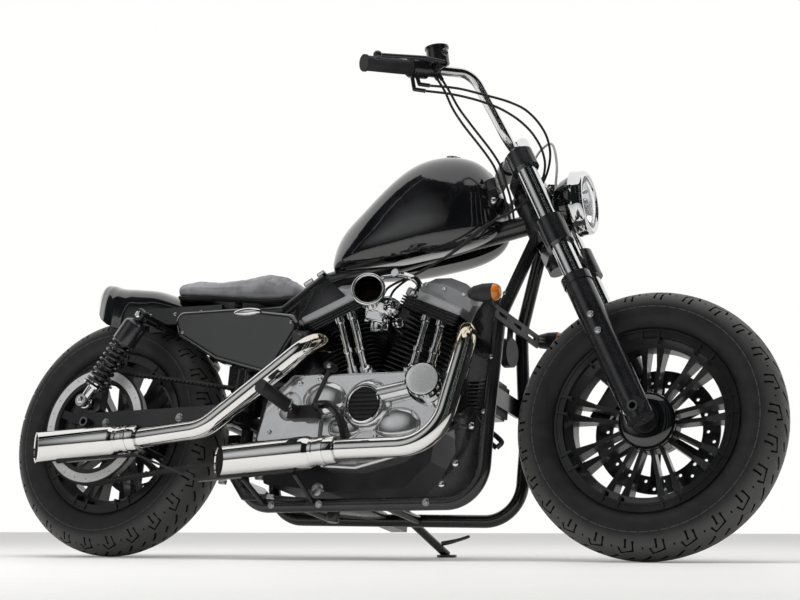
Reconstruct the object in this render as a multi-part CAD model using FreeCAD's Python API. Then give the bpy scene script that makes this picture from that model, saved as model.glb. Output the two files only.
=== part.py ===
import FreeCAD, Part
import math
import os

# A chopper motorcycle, parked on its side stand with the bars turned a little to the left.
# Millimetres. Every piece is drawn on the upright machine: X forward, Y left, Z up, the origin
# on the ground under the rear axle. Pieces of the front end are drawn unturned. place_all()
# then turns the front end, leans the machine onto its stand and centres the whole at the origin.

V = FreeCAD.Vector
ORIGIN = V(0, 0, 0)
X_DIR = V(1, 0, 0)
Y_DIR = V(0, 1, 0)
Z_DIR = V(0, 0, 1)

# Chassis geometry and stance
WHEELBASE = 1500.0
RAKE = 27.4
FORK_OFFSET = 45.2
LEAN = 11.2
STEER_REST = 4.5
STEER_RANGE = 30.0
STAND_SWING = 92.0

# Fits
SEAT_GAP = 0.3
PIN_GAP = 0.5
MOVING_GAP = 6.0
OVERRUN = 20.0

# Wheels and tyres
FRONT_TYRE_R = 320.0
FRONT_TYRE_W = 130.0
REAR_TYRE_R = 323.0
REAR_TYRE_W = 150.0
TYRE_WALL = 11.0
RIM_SEAT_R = 203.0
RIM_LIP_R = 218.0
RIM_LIP_T = 5.0
BEAD_GAP = 1.0
RIM_WELL_R = 184.0
RIM_WELL_HALF = 22.0
RIM_WALL = 5.0
SPOKE_PAIRS = 9
SPOKE_HUB_GAP = 22.0
SPOKE_RIM_GAP = 40.0
SPOKE_W = 10.0
SPOKE_W_RIM = 20.0
SPOKE_FLARE_SHARE = 0.62
SPOKE_DEPTH_HUB = 34.0
SPOKE_DEPTH_RIM = 46.0
LIP_GROOVE = 2.0
LIP_RIDGE_W = 5.0
RIB_W = 6.0
RIB_H = 12.0
RIB_PROUD = 2.0
HUB_CAP_R = 69.0
HUB_CAP_T = 16.0
HUB_BARREL_R = 36.0
HUB_HALF_W = 62.0
AXLE_R = 12.5
AXLE_BORE_R = 8.0

# Brakes and belt drive
FRONT_DISC_R = 150.0
REAR_DISC_R = 140.0
DISC_INNER_R = 108.0
DISC_T = 5.0
DISC_Y = 64.0
REAR_DISC_Y = 96.0
DISC_ARMS = 6
DISC_ARM_W = 22.0
DISC_HUB_R = 52.0
DISC_HOLES = 18
DISC_HOLE_R = 4.0
DISC_HOLE_SHARES = (0.30, 0.70)
CALIPER_L = 96.0
CALIPER_H = 46.0
CALIPER_T = 52.0
REAR_CALIPER_T = 60.0
REAR_CALIPER_SHARE = 0.62
LUG_ALONG = 110.0
LUG_REACH = 75.0
PULLEY_Y = 114.0
PULLEY_R = 152.0
FLANGE_T = 3.0
PULLEY_RING_W = 34.0
PULLEY_HOLES = 24
PULLEY_HOLE_R = 2.2
PULLEY_HOLE_SHARE = 0.75
PULLEY_FLANGE = 6.0
PULLEY_ARMS = 5
PULLEY_HUB_R = 48.0
BELT_T = 5.0
BELT_W = 26.0
TOOTH_H = 3.2
TOOTH_W = 6.5
TOOTH_PITCH = 13.0
TOOTH_START_REAR = 34.0
TOOTH_START_FRONT = 26.0
DRIVE_PULLEY_R = 62.0
DRIVE_X = 620.0
DRIVE_Z = 318.0

# Front fork, measured along the steering axis from the height of the axle
FORK_HALF_SPREAD = 118.0
FORK_TUBE_R = 24.5
SLIDER_R = 33.0
SLIDER_FOOT = 26.0
SLIDER_TOP = 369.0
SLIDER_COLLAR_R = 36.0
SLIDER_COLLAR_H = 22.0
SLIDER_BORE = 60.0
LOWER_CLAMP_FROM = 462.0
LOWER_CLAMP_TO = 536.0
UPPER_CLAMP_FROM = 690.0
UPPER_CLAMP_TO = 738.0
CLAMP_WALL = 10.0
CLAMP_PLATE_T = 34.0
CLAMP_BOSS_R = 25.0
STEM_R = 14.0
NECK_R = 34.0
NECK_FROM = 542.0
NECK_TO = 684.0
FORK_CAP_H = 8.0
BRACKET_RISE = 20.0
AXLE_BOSS_R = 25.0
AXLE_BOSS_HALF = 32.0
FRONT_AXLE_HALF = 154.0

# Handlebar, in the plane of the steering axis: along it and ahead of it
BAR_R = 12.7
BAR_BEND_R = 60.0
RISER_R = 17.0
RISER_SPREAD = 45.0
RISER_TOP = 796.0
RISER_AHEAD = 32.0
BAR_FOOT_SIDE = 98.0
BAR_RISE = V(1045, 190, 1172)
BAR_END = V(872, 432, 1096)
GRIP_L = 125.0
GRIP_END_T = 6.0
GRIP_R = 18.5
GRIP_RIB_R = 21.0
HOUSING_R = 25.0
HOUSING_L = 44.0
PERCH_R = 19.0
PERCH_L = 34.0
LEVER_REACH = 56.0
LEVER_BOW = 12.0
LEVER_R = 5.5
RESERVOIR_R = 27.0
RESERVOIR_H = 40.0
LID_T = 5.0
ARM_SHARE = 0.6
CROSS_SHARE = 0.7

# Held cables: two throttle cables and two wires from the right control, as (x, y, z) points. The
# first list of each turns with the bars and the second one is on the frame.
CABLE_R = 3.0
CABLE_BEND_SHARE = 0.45
ELBOW_R = 5.0
GLAND_DROP = V(14, -14, -22)
GLAND_SPACING = 14.0
THROTTLE_ELBOWS = [
    [V(952, 316, 1118), V(960, 308, 1093), V(984, 297, 1092)],
    [V(944, 323, 1113), V(951, 314, 1077), V(976, 302, 1076)],
]
THROTTLE_CABLES = [
    (
        [
            (984, -297, 1092), (1044, -268, 1095), (1102, -232, 1088), (1146, -196, 1086), (1181, -160, 1079),
            (1205, -128, 1059), (1222, -100, 1031), (1228, -78, 994), (1220, -62, 956), (1204, -56, 917),
        ],
        [
            (1180, -62, 880), (1150, -76, 850), (1116, -100, 822), (1082, -112, 792), (1046, -112, 762),
            (1008, -104, 742), (968, -92, 728), (928, -88, 712), (895, -98, 690), (870, -112, 664),
            (856, -119, 646), (850, -122, 623.5),
        ],
    ),
    (
        [
            (976, -302, 1076), (1032, -272, 1078), (1087, -238, 1073), (1132, -202, 1065), (1168, -168, 1049),
            (1195, -136, 1027), (1214, -108, 995), (1220, -86, 962), (1212, -72, 928),
        ],
        [
            (1194, -72, 892), (1170, -76, 862), (1142, -94, 834), (1108, -117, 808), (1074, -126, 780),
            (1036, -122, 752), (1000, -114, 732), (960, -104, 716), (920, -101, 698), (884, -113, 678),
            (862, -130, 660), (848, -140, 645), (842, -143, 623.5),
        ],
    ),
]
WIRE_CABLES = [
    (
        [
            (1006, -256, 1096), (1022, -236, 1056), (1044, -206, 1022), (1066, -176, 995), (1087, -147, 968),
            (1102, -120, 944),
        ],
        [(1112, -94, 922), (1115, -70, 898), (1114, -46, 874), (1112, -19.5, 849.5)],
    ),
    (
        [
            (1014, -245, 1099), (1032, -226, 1064), (1054, -197, 1034), (1077, -168, 1005), (1098, -138, 978),
            (1113, -110, 952),
        ],
        [(1122, -83, 926), (1126, -60, 900), (1126, -40, 876), (1123, -19.5, 852)],
    ),
]

# Headlight
LAMP_CENTRE = V(1306, 0, 889)
LAMP_TILT = 6.0
LAMP_R = 78.0
LAMP_RING_W = 14.0
LAMP_RING_DEPTH = 22.0
LAMP_BOWL_DEPTH = 86.0
LENS_BULGE = 14.0
LENS_T = 5.0

# Frame tubes
TUBE_R = 16.0
BACKBONE_R = 26.0
FRAME_HALF_W = 112.0
BACKBONE_END = V(600, 0, 724)
DOWNTUBE_KNEE = V(1128, 66, 580)
RAIL_TOP_Z = 300.0
REAR_HALF_W = 78.0
PIVOT_HALF = 133.5
LUG_HALF = 22.0
MOUNT_PLATE_T = 8.0
MOUNT_PLATE_SET = 12.0
RAIL_Z = 114.0
RAIL_FRONT_X = 1140.0
RAIL_REAR_X = 452.0
RAIL_BEND = 92.0
PIVOT_X = 440.0
PIVOT_Z = 334.0
PIVOT_R = 24.0
SEAT_RAIL_Z = 624.0
SEAT_KNEE_X = 520.0
STRUT_REAR_X = 96.0
STRUT_Z = 622.0
STRUT_FRONT_X = 300.0
STRUT_T = 12.0
STRUT_H = 46.0

# Swingarm and shocks
ARM_Y = 146.0
ARM_T = 24.0
ARM_H = 52.0
REAR_AXLE_HALF = 176.0
SHOCK_Y = 182.0
SHOCK_FOOT_X = -3.0
SHOCK_FOOT_Z = 376.0
SHOCK_HEAD_X = 146.0
SHOCK_HEAD_Z = 602.0
SHOCK_SPRING_R = 30.0
SHOCK_WIRE_R = 5.0
SHOCK_COILS = 9
SHOCK_BODY_R = 19.0
SHOCK_EYE_R = 17.0
SHOCK_LOW_SHARE = 0.20
SHOCK_HIGH_SHARE = 0.70
SHOCK_CAP_SHARE = 0.90
COIL_SHARE = 0.5

# Engine
CRANK_X = 815.0
CRANK_Z = 267.0
V_HALF_ANGLE = 22.5
CASE_HALF_W = 86.0
CYLINDER_FOOT = 150.0
CYLINDER_TOP = 392.0
CYLINDER_R = 58.0
FIN_HALF = 78.0
FIN_T = 3.2
FIN_COUNT = 16
HEAD_FROM = 342.0
HEAD_HALF_W = 98.0
DECK_HALF = 80.0
CASE_L = 340.0
CASE_CORNER = 22.0
SPROCKET_COVER_T = 14.0
FIN_CORNER = 26.0
ROCKER_L = 168.0
ROCKER_W = 124.0
ROCKER_H = 68.0
ROCKER_SLOPE = 26.0
GEARCASE_T = 52.0
TIMER_X = 827.0
TIMER_Z = 348.0
TIMER_R = 43.0
TIMER_T = 20.0
TIMER_RIBS = 7
TIMER_RIB_T = 4.0
TIMER_RING_W = 7.0
TIMER_RING_T = 9.0
PRIMARY_T = 66.0
PRIMARY_ROUND = 16.0
CASE_ROUND = 6.0
PRIMARY_R = 92.0
PRIMARY_Z = 275.0
CLUTCH_X = 590.0
CLUTCH_Z = 300.0
PUSHROD_R = 10.5
PUSHROD_COLLAR_R = 14.5
PUSHROD_COLLAR_SHARES = [(0.0, 0.12), (0.36, 0.44), (0.90, 1.0)]
PUSHROD_FOOT_Y = 112.0
PUSHROD_HEAD_Y = 90.0
PUSHRODS = [(-1, 766.0, 23.4), (-1, 803.0, 23.4), (1, 925.0, -8.5), (1, 972.0, -7.0)]
FILTER_R = 42.0
FILTER_L = 60.0
FILTER_FLUTES = 14
FLUTE_R = 5.0
FLUTE_L = 16.0
FILTER_CUP_R = 47.0
FILTER_CUP_L = 14.0
FILTER_X = 985.0
FILTER_Z = 394.0
FILTER_TURN_SHARE = 0.25
CARB_Z = 590.0
CARB_W = 62.0
CARB_T = 52.0
CARB_SHIFT = 22.0
CARB_NECK_R = 20.0
HORN_R = 35.0
HORN_L = 80.0
HORN_MOUTH = V(849, -230, 616)

# Exhaust
HEADER_R = 25.0
MUFFLER_R = 40.0
PIPE_WALL = 2.5
REAR_HEADER = [V(660, -40, 540), V(672, -172, 510), V(400, -200, 287), V(206, -200, 267)]
REAR_BENDS = [60.0, 110.0]
FRONT_HEADER = [V(1013, -40, 542), V(1092, -150, 525), V(1048, -190, 234), V(790, -200, 226)]
FRONT_BENDS = [60.0, 110.0]
MUFFLER_UPPER = [V(206, -200, 267), V(-155, -200, 247)]
MUFFLER_LOWER = [V(790, -200, 226), V(425, -200, 200)]
TIP_DEPTH = 60.0
TIP_SLANT = 12.0
TIP_TRIM = 12.0
COLLAR_L = 14.0
COLLAR_RISE = 4.0
HANGER_DROP = 0.4
HANGER_TAIL = 110.0
HANGER_T = 6.0

# Body
TANK_L = 465.0
TANK_H = 292.0
TANK_HALF_W = 118.0
TANK_REAR = V(622, 0, 742)
FENDER_HALF_W = 98.0
FENDER_TAIL_X = -122.0
FENDER_L = 420.0
FENDER_LOW_Z = 600.0
FENDER_H = 156.0
FENDER_ROUND = 44.0
FENDER_T = 4.0
SEAT_L = 362.0
SEAT_H = 78.0
PAN_T = 12.0
BUMPER_X = 380.0
BUMPER_Y = 84.0
BUMPER_R = 10.0
SEAT_HALF_W = 122.0
SEAT_REAR = V(172, 0, 662)
COVER_T = 42.0
COVER_Y = FENDER_HALF_W + SEAT_GAP * 2 + STRUT_T
COVER_REAR_X = 219.0
COVER_L = 398.0
COVER_LOW_Z = 434.0
COVER_H = 186.0
COVER_CORNER = 26.0
COVER_ROUND = 14.0

# Controls and stand
PEG_R = 17.0
PEG_L = 100.0
PEG_X = 640.0
PEG_Z = 338.0
PEG_ROOT = 200.0
PEG_SWEEP = 22.0
PEG_RISE = 26.0
PEDAL_X = 694.0
PEDAL_REACH = 88.0
PEDAL_RISE = 78.0
PEDAL_Y = 236.0
RIGHT_FACE = 147.4
LEFT_FACE = 152.6
REGULATOR_T = 34.0
REGULATOR_W = 96.0
REGULATOR_H = 76.0
REGULATOR_Z = 390.0
REGULATOR_FINS = 7
HORN_DISC_R = 36.0
HORN_DISC_T = 20.0
SIGNAL_PLATE_HALF = 132.0
SIGNAL_SLOTS = 3
SIGNAL_SLOT_H = 9.0
SIGNAL_SLOT_SHARE = 0.5
SIGNAL_Y = 200.0
SIGNAL_Z = 597.0
SIGNAL_L = 84.0
SIGNAL_R = 22.0
STAND_PIVOT = V(783, 166, 150)
STAND_PIN_R = 8.0
STAND_PIN_L = 40.0
STAND_LUG_Z = 126.0
STAND_PAD_R = 26.0
STAND_FOOT = V(842, 0, 0)
STAND_FOOT_OUT = 335.0
STAND_LEG_R = 11.0
STAND_PAD_T = 7.0


def bar(start, end, radius):
    """A round bar between two points."""
    return Part.makeCylinder(radius, (end - start).Length, start, end - start)


def disc(centre, axis, radius, thickness):
    """A round plate centred on a point."""
    unit = V(axis).normalize()
    return Part.makeCylinder(radius, thickness, centre - unit * (thickness / 2), unit)


def block(low, high):
    """A box between two corners."""
    size = high - low
    return Part.makeBox(size.x, size.y, size.z, low)


def slab(outline, y_from, y_to):
    """A plate with an outline of (x, z) points, between two planes across the machine."""
    points = [V(x, y_from, z) for x, z in outline]
    face = Part.Face(Part.makePolygon(points + points[:1]))
    return face.extrude(V(0, y_to - y_from, 0))


def rounded_wire(points, radius):
    """A closed outline through corner points, each corner an arc."""
    edges = []
    count = len(points)
    stops = []
    for i in range(count):
        before, here, after = points[i - 1], points[i], points[(i + 1) % count]
        a = (before - here).normalize()
        b = (after - here).normalize()
        half = a.getAngle(b) / 2
        run = radius / math.tan(half)
        middle = (a + b).normalize()
        centre = here + middle * (radius / math.sin(half))
        stops.append((here + a * run, centre - middle * radius, here + b * run))
    for i in range(count):
        start, mid, end = stops[i]
        edges.append(Part.Arc(start, mid, end).toShape())
        following = stops[(i + 1) % count][0]
        if (following - end).Length > PIN_GAP / count:
            edges.append(Part.LineSegment(end, following).toShape())
    return Part.Wire(edges)


def rounded_slab(outline, y_from, y_to, radius):
    """A plate with a rounded outline of (x, z) points, between two planes across the machine."""
    wire = rounded_wire([V(x, y_from, z) for x, z in outline], radius)
    return Part.Face(wire).extrude(V(0, y_to - y_from, 0))


def path(points, bends):
    """Straight runs joined by tangent arcs, one radius for all or one for each corner."""
    edges = []
    start = points[0]
    if not isinstance(bends, list):
        bends = [bends] * (len(points) - 2)
    for before, here, after, bend in zip(points, points[1:], points[2:], bends):
        a = (before - here).normalize()
        b = (after - here).normalize()
        half = a.getAngle(b) / 2
        run = bend / math.tan(half)
        middle = (a + b).normalize()
        centre = here + middle * (bend / math.sin(half))
        edges.append(Part.LineSegment(start, here + a * run).toShape())
        edges.append(Part.Arc(here + a * run, centre - middle * bend, here + b * run).toShape())
        start = here + b * run
    edges.append(Part.LineSegment(start, points[-1]).toShape())
    return Part.Wire(edges)


def bent_bar(points, radius, bends):
    """A round bar along straight runs and tangent arcs."""
    spine = path(points, bends)
    ring = Part.Wire(Part.makeCircle(radius, points[0], points[1] - points[0]))
    return spine.makePipeShell([ring], True, False)


def fuse(shapes):
    """One solid from touching ones."""
    return shapes[0].fuse(shapes[1:]).removeSplitter()


def turned(profile, centre):
    """A ring or hub turned about the Y direction through a centre, from (radius, y) points."""
    points = [centre + V(radius, y, 0) for radius, y in profile]
    face = Part.Face(Part.makePolygon(points + points[:1]))
    return face.revolve(centre, Y_DIR, 360)


# Steering geometry: the axis runs through STEER_BASE along STEER_UP, and AHEAD is square to it
REAR_HUB = V(0, 0, REAR_TYRE_R)
FRONT_HUB = V(WHEELBASE, 0, FRONT_TYRE_R)
STEER_UP = V(-math.sin(math.radians(RAKE)), 0, math.cos(math.radians(RAKE)))
AHEAD = V(math.cos(math.radians(RAKE)), 0, math.sin(math.radians(RAKE)))
STEER_BASE = FRONT_HUB - AHEAD * FORK_OFFSET


def fork_point(along, ahead=0, side=0):
    """A point of the front end by its place along and ahead of the steering axis."""
    return STEER_BASE + STEER_UP * along + AHEAD * ahead + Y_DIR * side


# Tyre section as shares of its height above the bead seat and of its half width
TYRE_OUTER_SHARES = [(0.0, 0.60), (0.145, 0.63), (0.28, 0.90), (0.52, 1.0), (0.70, 0.955), (0.83, 0.80)]


def tyre(centre, radius, width):
    """A tyre: a crowned tread, bulging side walls and an open inside."""
    outer = tyre_side(centre, radius, width / 2)
    inner = tyre_side(centre, radius - TYRE_WALL, width / 2 - TYRE_WALL)
    foot_right = Part.LineSegment(inner[0], outer[0]).toShape()
    foot_left = Part.LineSegment(outer[-1], inner[-1]).toShape()
    section = Part.Wire([foot_right] + tyre_edges(outer) + [foot_left] + tyre_edges(inner)[::-1])
    return Part.Face(section).revolve(centre, Y_DIR, 360)


def tyre_side(centre, radius, half):
    """The section's points from the right bead over the crown to the left bead."""
    height = radius - RIM_SEAT_R
    right = [centre + V(RIM_SEAT_R + h * height, -w * half, 0) for h, w in TYRE_OUTER_SHARES]
    left = [centre + V(RIM_SEAT_R + h * height, w * half, 0) for h, w in TYRE_OUTER_SHARES]
    return right + [centre + V(radius, 0, 0)] + left[::-1]


def tyre_edges(points):
    """Bead lines, side wall arcs and the crown arc of one surface of the section."""
    edges = [Part.LineSegment(points[0], points[1]).toShape()]
    for i in (1, 3, 5, 7, 9):
        edges.append(Part.Arc(points[i], points[i + 1], points[i + 2]).toShape())
    edges.append(Part.LineSegment(points[11], points[12]).toShape())
    return edges


def rim(centre, tyre_w):
    """The rim barrel with its lips, bead seats and well, as wide as its tyre's beads."""
    seat_half = tyre_w / 2 * TYRE_OUTER_SHARES[1][1] + BEAD_GAP
    half = seat_half + RIM_LIP_T
    outside = [
        (RIM_LIP_R, half),
        (RIM_LIP_R, seat_half),
        (RIM_SEAT_R - SEAT_GAP, seat_half),
        (RIM_SEAT_R - SEAT_GAP, RIM_WELL_HALF + RIM_LIP_T),
        (RIM_WELL_R, RIM_WELL_HALF),
    ]
    inside = [
        (RIM_WELL_R - RIM_WALL, RIM_WELL_HALF),
        (RIM_SEAT_R - RIM_WALL, RIM_WELL_HALF + RIM_LIP_T + RIM_WALL),
        (RIM_SEAT_R - RIM_WALL, half),
    ]
    upper = outside + [(r, -y) for r, y in outside[::-1]]
    groove = [
        (RIM_SEAT_R - RIM_WALL + LIP_RIDGE_W, half),
        (RIM_SEAT_R - RIM_WALL + LIP_RIDGE_W, half - LIP_GROOVE),
        (RIM_LIP_R - LIP_RIDGE_W, half - LIP_GROOVE),
        (RIM_LIP_R - LIP_RIDGE_W, half),
    ]
    inside += groove
    lower = [(r, -y) for r, y in inside[::-1]] + inside
    return turned(upper + lower, centre)


def spoke_rib(centre, tyre_w, angle, side, face):
    """The rib that carries a spoke across the rim's barrel and over its lip, on one face."""
    half = tyre_w / 2 * TYRE_OUTER_SHARES[1][1] + BEAD_GAP + RIM_LIP_T
    foot = RIM_SEAT_R - RIM_WALL
    outline = [
        (foot - RIB_H, RIM_WELL_HALF),
        (foot + RIB_PROUD, RIM_WELL_HALF + RIM_LIP_T + RIM_WALL),
        (foot + RIB_PROUD, half - RIB_PROUD / 2),
        (RIM_LIP_R - RIB_PROUD, half - RIB_PROUD / 2),
        (RIM_LIP_R - RIB_PROUD, half + RIB_PROUD),
        (foot - RIB_H, half + RIB_PROUD),
    ]
    low = side * SPOKE_RIM_GAP / 2 - RIB_W / 2
    points = [V(low, face * y, r) for r, y in outline]
    rib = Part.Face(Part.makePolygon(points + points[:1])).extrude(V(RIB_W, 0, 0))
    rib.Placement = FreeCAD.Placement(centre, FreeCAD.Rotation(Y_DIR, angle))
    return rib


def spoke(centre, angle, side):
    """One bar of a spoke pair, slim from the hub cap outwards and flared where it meets the rim."""
    turn = FreeCAD.Rotation(Y_DIR, angle)
    ends = []
    root_r = HUB_CAP_R - SPOKE_W
    rim_r = RIM_WELL_R - RIM_WALL / 2
    flare_r = root_r + (rim_r - root_r) * SPOKE_FLARE_SHARE
    flare_gap = SPOKE_HUB_GAP + (SPOKE_RIM_GAP - SPOKE_HUB_GAP) * SPOKE_FLARE_SHARE
    stations = (
        (root_r, SPOKE_HUB_GAP, SPOKE_DEPTH_HUB, SPOKE_W),
        (flare_r, flare_gap, SPOKE_DEPTH_HUB, SPOKE_W),
        (rim_r, SPOKE_RIM_GAP, SPOKE_DEPTH_RIM, SPOKE_W_RIM),
    )
    for radius, gap, depth, width in stations:
        low = side * gap / 2 - width / 2
        high = side * gap / 2 + width / 2
        corners = [
            V(low, -depth / 2, radius),
            V(high, -depth / 2, radius),
            V(high, depth / 2, radius),
            V(low, depth / 2, radius),
        ]
        ends.append(Part.makePolygon(corners + corners[:1]))
    bar_shape = Part.makeLoft(ends, True, True)
    bar_shape.Placement = FreeCAD.Placement(centre, turn)
    return bar_shape


def wheel(centre, tyre_w, hub_right, hub_left):
    """A cast wheel: hub, nine pairs of spokes and rim, bored for the axle."""
    hub = turned(
        [
            (0, -hub_right),
            (HUB_BARREL_R, -hub_right),
            (HUB_BARREL_R, -SPOKE_DEPTH_HUB),
            (HUB_CAP_R, -SPOKE_DEPTH_HUB / 2 - HUB_CAP_T / 2),
            (HUB_CAP_R, SPOKE_DEPTH_HUB / 2),
            (HUB_BARREL_R, SPOKE_DEPTH_HUB),
            (HUB_BARREL_R, hub_left),
            (0, hub_left),
        ],
        centre,
    )
    pieces = [hub, rim(centre, tyre_w)]
    for i in range(SPOKE_PAIRS):
        angle = i * 360 / SPOKE_PAIRS
        for side in (-1, 1):
            pieces.append(spoke(centre, angle, side))
            for face in (-1, 1):
                pieces.append(spoke_rib(centre, tyre_w, angle, side, face))
    bore = disc(centre, Y_DIR, AXLE_R + PIN_GAP, hub_right + hub_left + HUB_HALF_W * 2)
    return fuse(pieces).cut(bore)


def hole_ring(centre, y, radius, hole_r, count, depth, start):
    """Cutters for a circle of holes through a plate."""
    cutters = []
    for i in range(count):
        turn = FreeCAD.Rotation(Y_DIR, start + i * 360 / count)
        cutters.append(disc(centre + turn.multVec(V(radius, y, 0)), Y_DIR, hole_r, depth))
    return cutters


def brake_disc(centre, y, outer):
    """A brake disc on its carrier, its ring drilled in two offset circles."""
    plate = ring_plate(centre, y, outer, DISC_INNER_R, DISC_HUB_R, DISC_ARMS, DISC_ARM_W, DISC_T)
    holes = []
    for i, share in enumerate(DISC_HOLE_SHARES):
        radius = DISC_INNER_R + (outer - DISC_INNER_R) * share
        start = i * 360 / DISC_HOLES / 2
        holes += hole_ring(centre, y, radius, DISC_HOLE_R, DISC_HOLES, DISC_T + OVERRUN, start)
    return plate.cut(holes)


def ring_plate(centre, y, outer, inner, hub, arms, arm_width, thickness):
    """A flat ring on arms from a hub plate, bored for the hub barrel."""
    middle = centre + Y_DIR * y
    ring = disc(middle, Y_DIR, outer, thickness).cut(disc(middle, Y_DIR, inner, thickness + OVERRUN))
    carrier = disc(middle, Y_DIR, hub, thickness)
    pieces = [ring, carrier]
    for i in range(arms):
        arm = block(
            V(-arm_width / 2, y - thickness / 2, hub - thickness),
            V(arm_width / 2, y + thickness / 2, (inner + outer) / 2),
        )
        arm.Placement = FreeCAD.Placement(centre, FreeCAD.Rotation(Y_DIR, i * 360 / arms))
        pieces.append(arm)
    bore = disc(middle, Y_DIR, HUB_BARREL_R + SEAT_GAP, thickness + OVERRUN)
    return fuse(pieces).cut(bore)


def front_axle():
    """The hollow front axle."""
    low = FRONT_HUB - Y_DIR * FRONT_AXLE_HALF
    high = FRONT_HUB + Y_DIR * FRONT_AXLE_HALF
    return bar(low, high, AXLE_R).cut(bar(low - Y_DIR * OVERRUN, high + Y_DIR * OVERRUN, AXLE_BORE_R))


def rear_axle():
    """The hollow rear axle."""
    low = REAR_HUB - Y_DIR * REAR_AXLE_HALF
    high = REAR_HUB + Y_DIR * REAR_AXLE_HALF
    return bar(low, high, AXLE_R).cut(bar(low - Y_DIR * OVERRUN, high + Y_DIR * OVERRUN, AXLE_BORE_R))


def caliper(centre, hub, disc_y, thickness, disc_r):
    """A brake caliper over the rim of a disc, slotted for it."""
    body = block(
        centre + V(-CALIPER_L / 2, disc_y - thickness / 2, -CALIPER_H / 2),
        centre + V(CALIPER_L / 2, disc_y + thickness / 2, CALIPER_H / 2),
    )
    outward = V(centre.x - hub.x, 0, centre.z - hub.z)
    turn = FreeCAD.Rotation(Z_DIR, outward)
    body.translate(-centre)
    body.Placement = FreeCAD.Placement(centre, turn).multiply(body.Placement)
    slot = disc(hub + Y_DIR * disc_y, Y_DIR, disc_r + MOVING_GAP, DISC_T + MOVING_GAP)
    return body.cut(slot)


def slider(side):
    """A fork slider with its collar, axle boss and brake lug, open at the top for the tube."""
    foot = fork_point(-SLIDER_FOOT, FORK_OFFSET, side * FORK_HALF_SPREAD)
    top = fork_point(SLIDER_TOP, FORK_OFFSET, side * FORK_HALF_SPREAD)
    collar = fork_point(SLIDER_TOP - SLIDER_COLLAR_H, FORK_OFFSET, side * FORK_HALF_SPREAD)
    boss_in = FRONT_HUB + Y_DIR * (side * (FORK_HALF_SPREAD - AXLE_BOSS_HALF))
    boss_out = FRONT_HUB + Y_DIR * (side * (FORK_HALF_SPREAD + AXLE_BOSS_HALF))
    pieces = [bar(foot, top, SLIDER_R), bar(collar, top, SLIDER_COLLAR_R), bar(boss_in, boss_out, AXLE_BOSS_R)]
    if side > 0:
        lug_low = LUG_ALONG - CALIPER_H / 2
        lug = fork_block(
            (lug_low, LUG_ALONG + CALIPER_H / 2),
            (FORK_OFFSET - LUG_REACH, FORK_OFFSET),
            (DISC_Y + CALIPER_T / 2 + SEAT_GAP, FORK_HALF_SPREAD),
        )
        pieces.append(lug)
    body = fuse(pieces)
    tube_seat = fork_point(SLIDER_TOP - SLIDER_BORE, FORK_OFFSET, side * FORK_HALF_SPREAD)
    body = body.cut(bar(tube_seat, top + STEER_UP * OVERRUN, FORK_TUBE_R + SEAT_GAP))
    return body.cut(disc(FRONT_HUB, Y_DIR, AXLE_R + SEAT_GAP, FRONT_AXLE_HALF * 2 + OVERRUN))


def fork_block(along, ahead, side):
    """A box square to the steering axis, from (low, high) pairs."""
    size = (ahead[1] - ahead[0], side[1] - side[0], along[1] - along[0])
    shape = Part.makeBox(*size)
    turn = FreeCAD.Rotation(AHEAD, Y_DIR, STEER_UP)
    shape.Placement = FreeCAD.Placement(fork_point(along[0], ahead[0], side[0]), turn)
    return shape


def fork_tube(side):
    """A polished fork tube from inside the slider to above the upper clamp."""
    low = fork_point(SLIDER_TOP - SLIDER_BORE + SEAT_GAP, FORK_OFFSET, side * FORK_HALF_SPREAD)
    high = fork_point(UPPER_CLAMP_TO + FORK_CAP_H, FORK_OFFSET, side * FORK_HALF_SPREAD)
    return bar(low, high, FORK_TUBE_R)


def clamp(low, high):
    """One fork clamp: bosses round both tubes and the stem, joined by a plate."""
    boss_r = FORK_TUBE_R + CLAMP_WALL
    middle = (low + high) / 2
    outline = [
        fork_point(middle - CLAMP_PLATE_T / 2, -CLAMP_BOSS_R, -CLAMP_BOSS_R / 2),
        fork_point(middle - CLAMP_PLATE_T / 2, FORK_OFFSET - CLAMP_WALL, -FORK_HALF_SPREAD),
        fork_point(middle - CLAMP_PLATE_T / 2, FORK_OFFSET + CLAMP_WALL, -FORK_HALF_SPREAD),
        fork_point(middle - CLAMP_PLATE_T / 2, FORK_OFFSET + CLAMP_WALL, FORK_HALF_SPREAD),
        fork_point(middle - CLAMP_PLATE_T / 2, FORK_OFFSET - CLAMP_WALL, FORK_HALF_SPREAD),
        fork_point(middle - CLAMP_PLATE_T / 2, -CLAMP_BOSS_R, CLAMP_BOSS_R / 2),
    ]
    plate = Part.Face(Part.makePolygon(outline + outline[:1])).extrude(STEER_UP * CLAMP_PLATE_T)
    pieces = [plate, bar(fork_point(low), fork_point(high), CLAMP_BOSS_R)]
    for side in (-1, 1):
        foot = fork_point(low, FORK_OFFSET, side * FORK_HALF_SPREAD)
        pieces.append(bar(foot, foot + STEER_UP * (high - low), boss_r))
    return pieces


def fork_clamps():
    """Both clamps and the steering stem between them, bored for the tubes."""
    stem = bar(fork_point(LOWER_CLAMP_FROM), fork_point(UPPER_CLAMP_TO), STEM_R)
    pieces = clamp(LOWER_CLAMP_FROM, LOWER_CLAMP_TO) + clamp(UPPER_CLAMP_FROM, UPPER_CLAMP_TO) + [stem]
    body = fuse(pieces)
    for side in (-1, 1):
        low = fork_point(LOWER_CLAMP_FROM - OVERRUN, FORK_OFFSET, side * FORK_HALF_SPREAD)
        high = fork_point(UPPER_CLAMP_TO + OVERRUN, FORK_OFFSET, side * FORK_HALF_SPREAD)
        body = body.cut(bar(low, high, FORK_TUBE_R + SEAT_GAP))
    return body


def mirrored(point):
    """The same point on the other side of the machine."""
    return V(point.x, -point.y, point.z)


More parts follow.
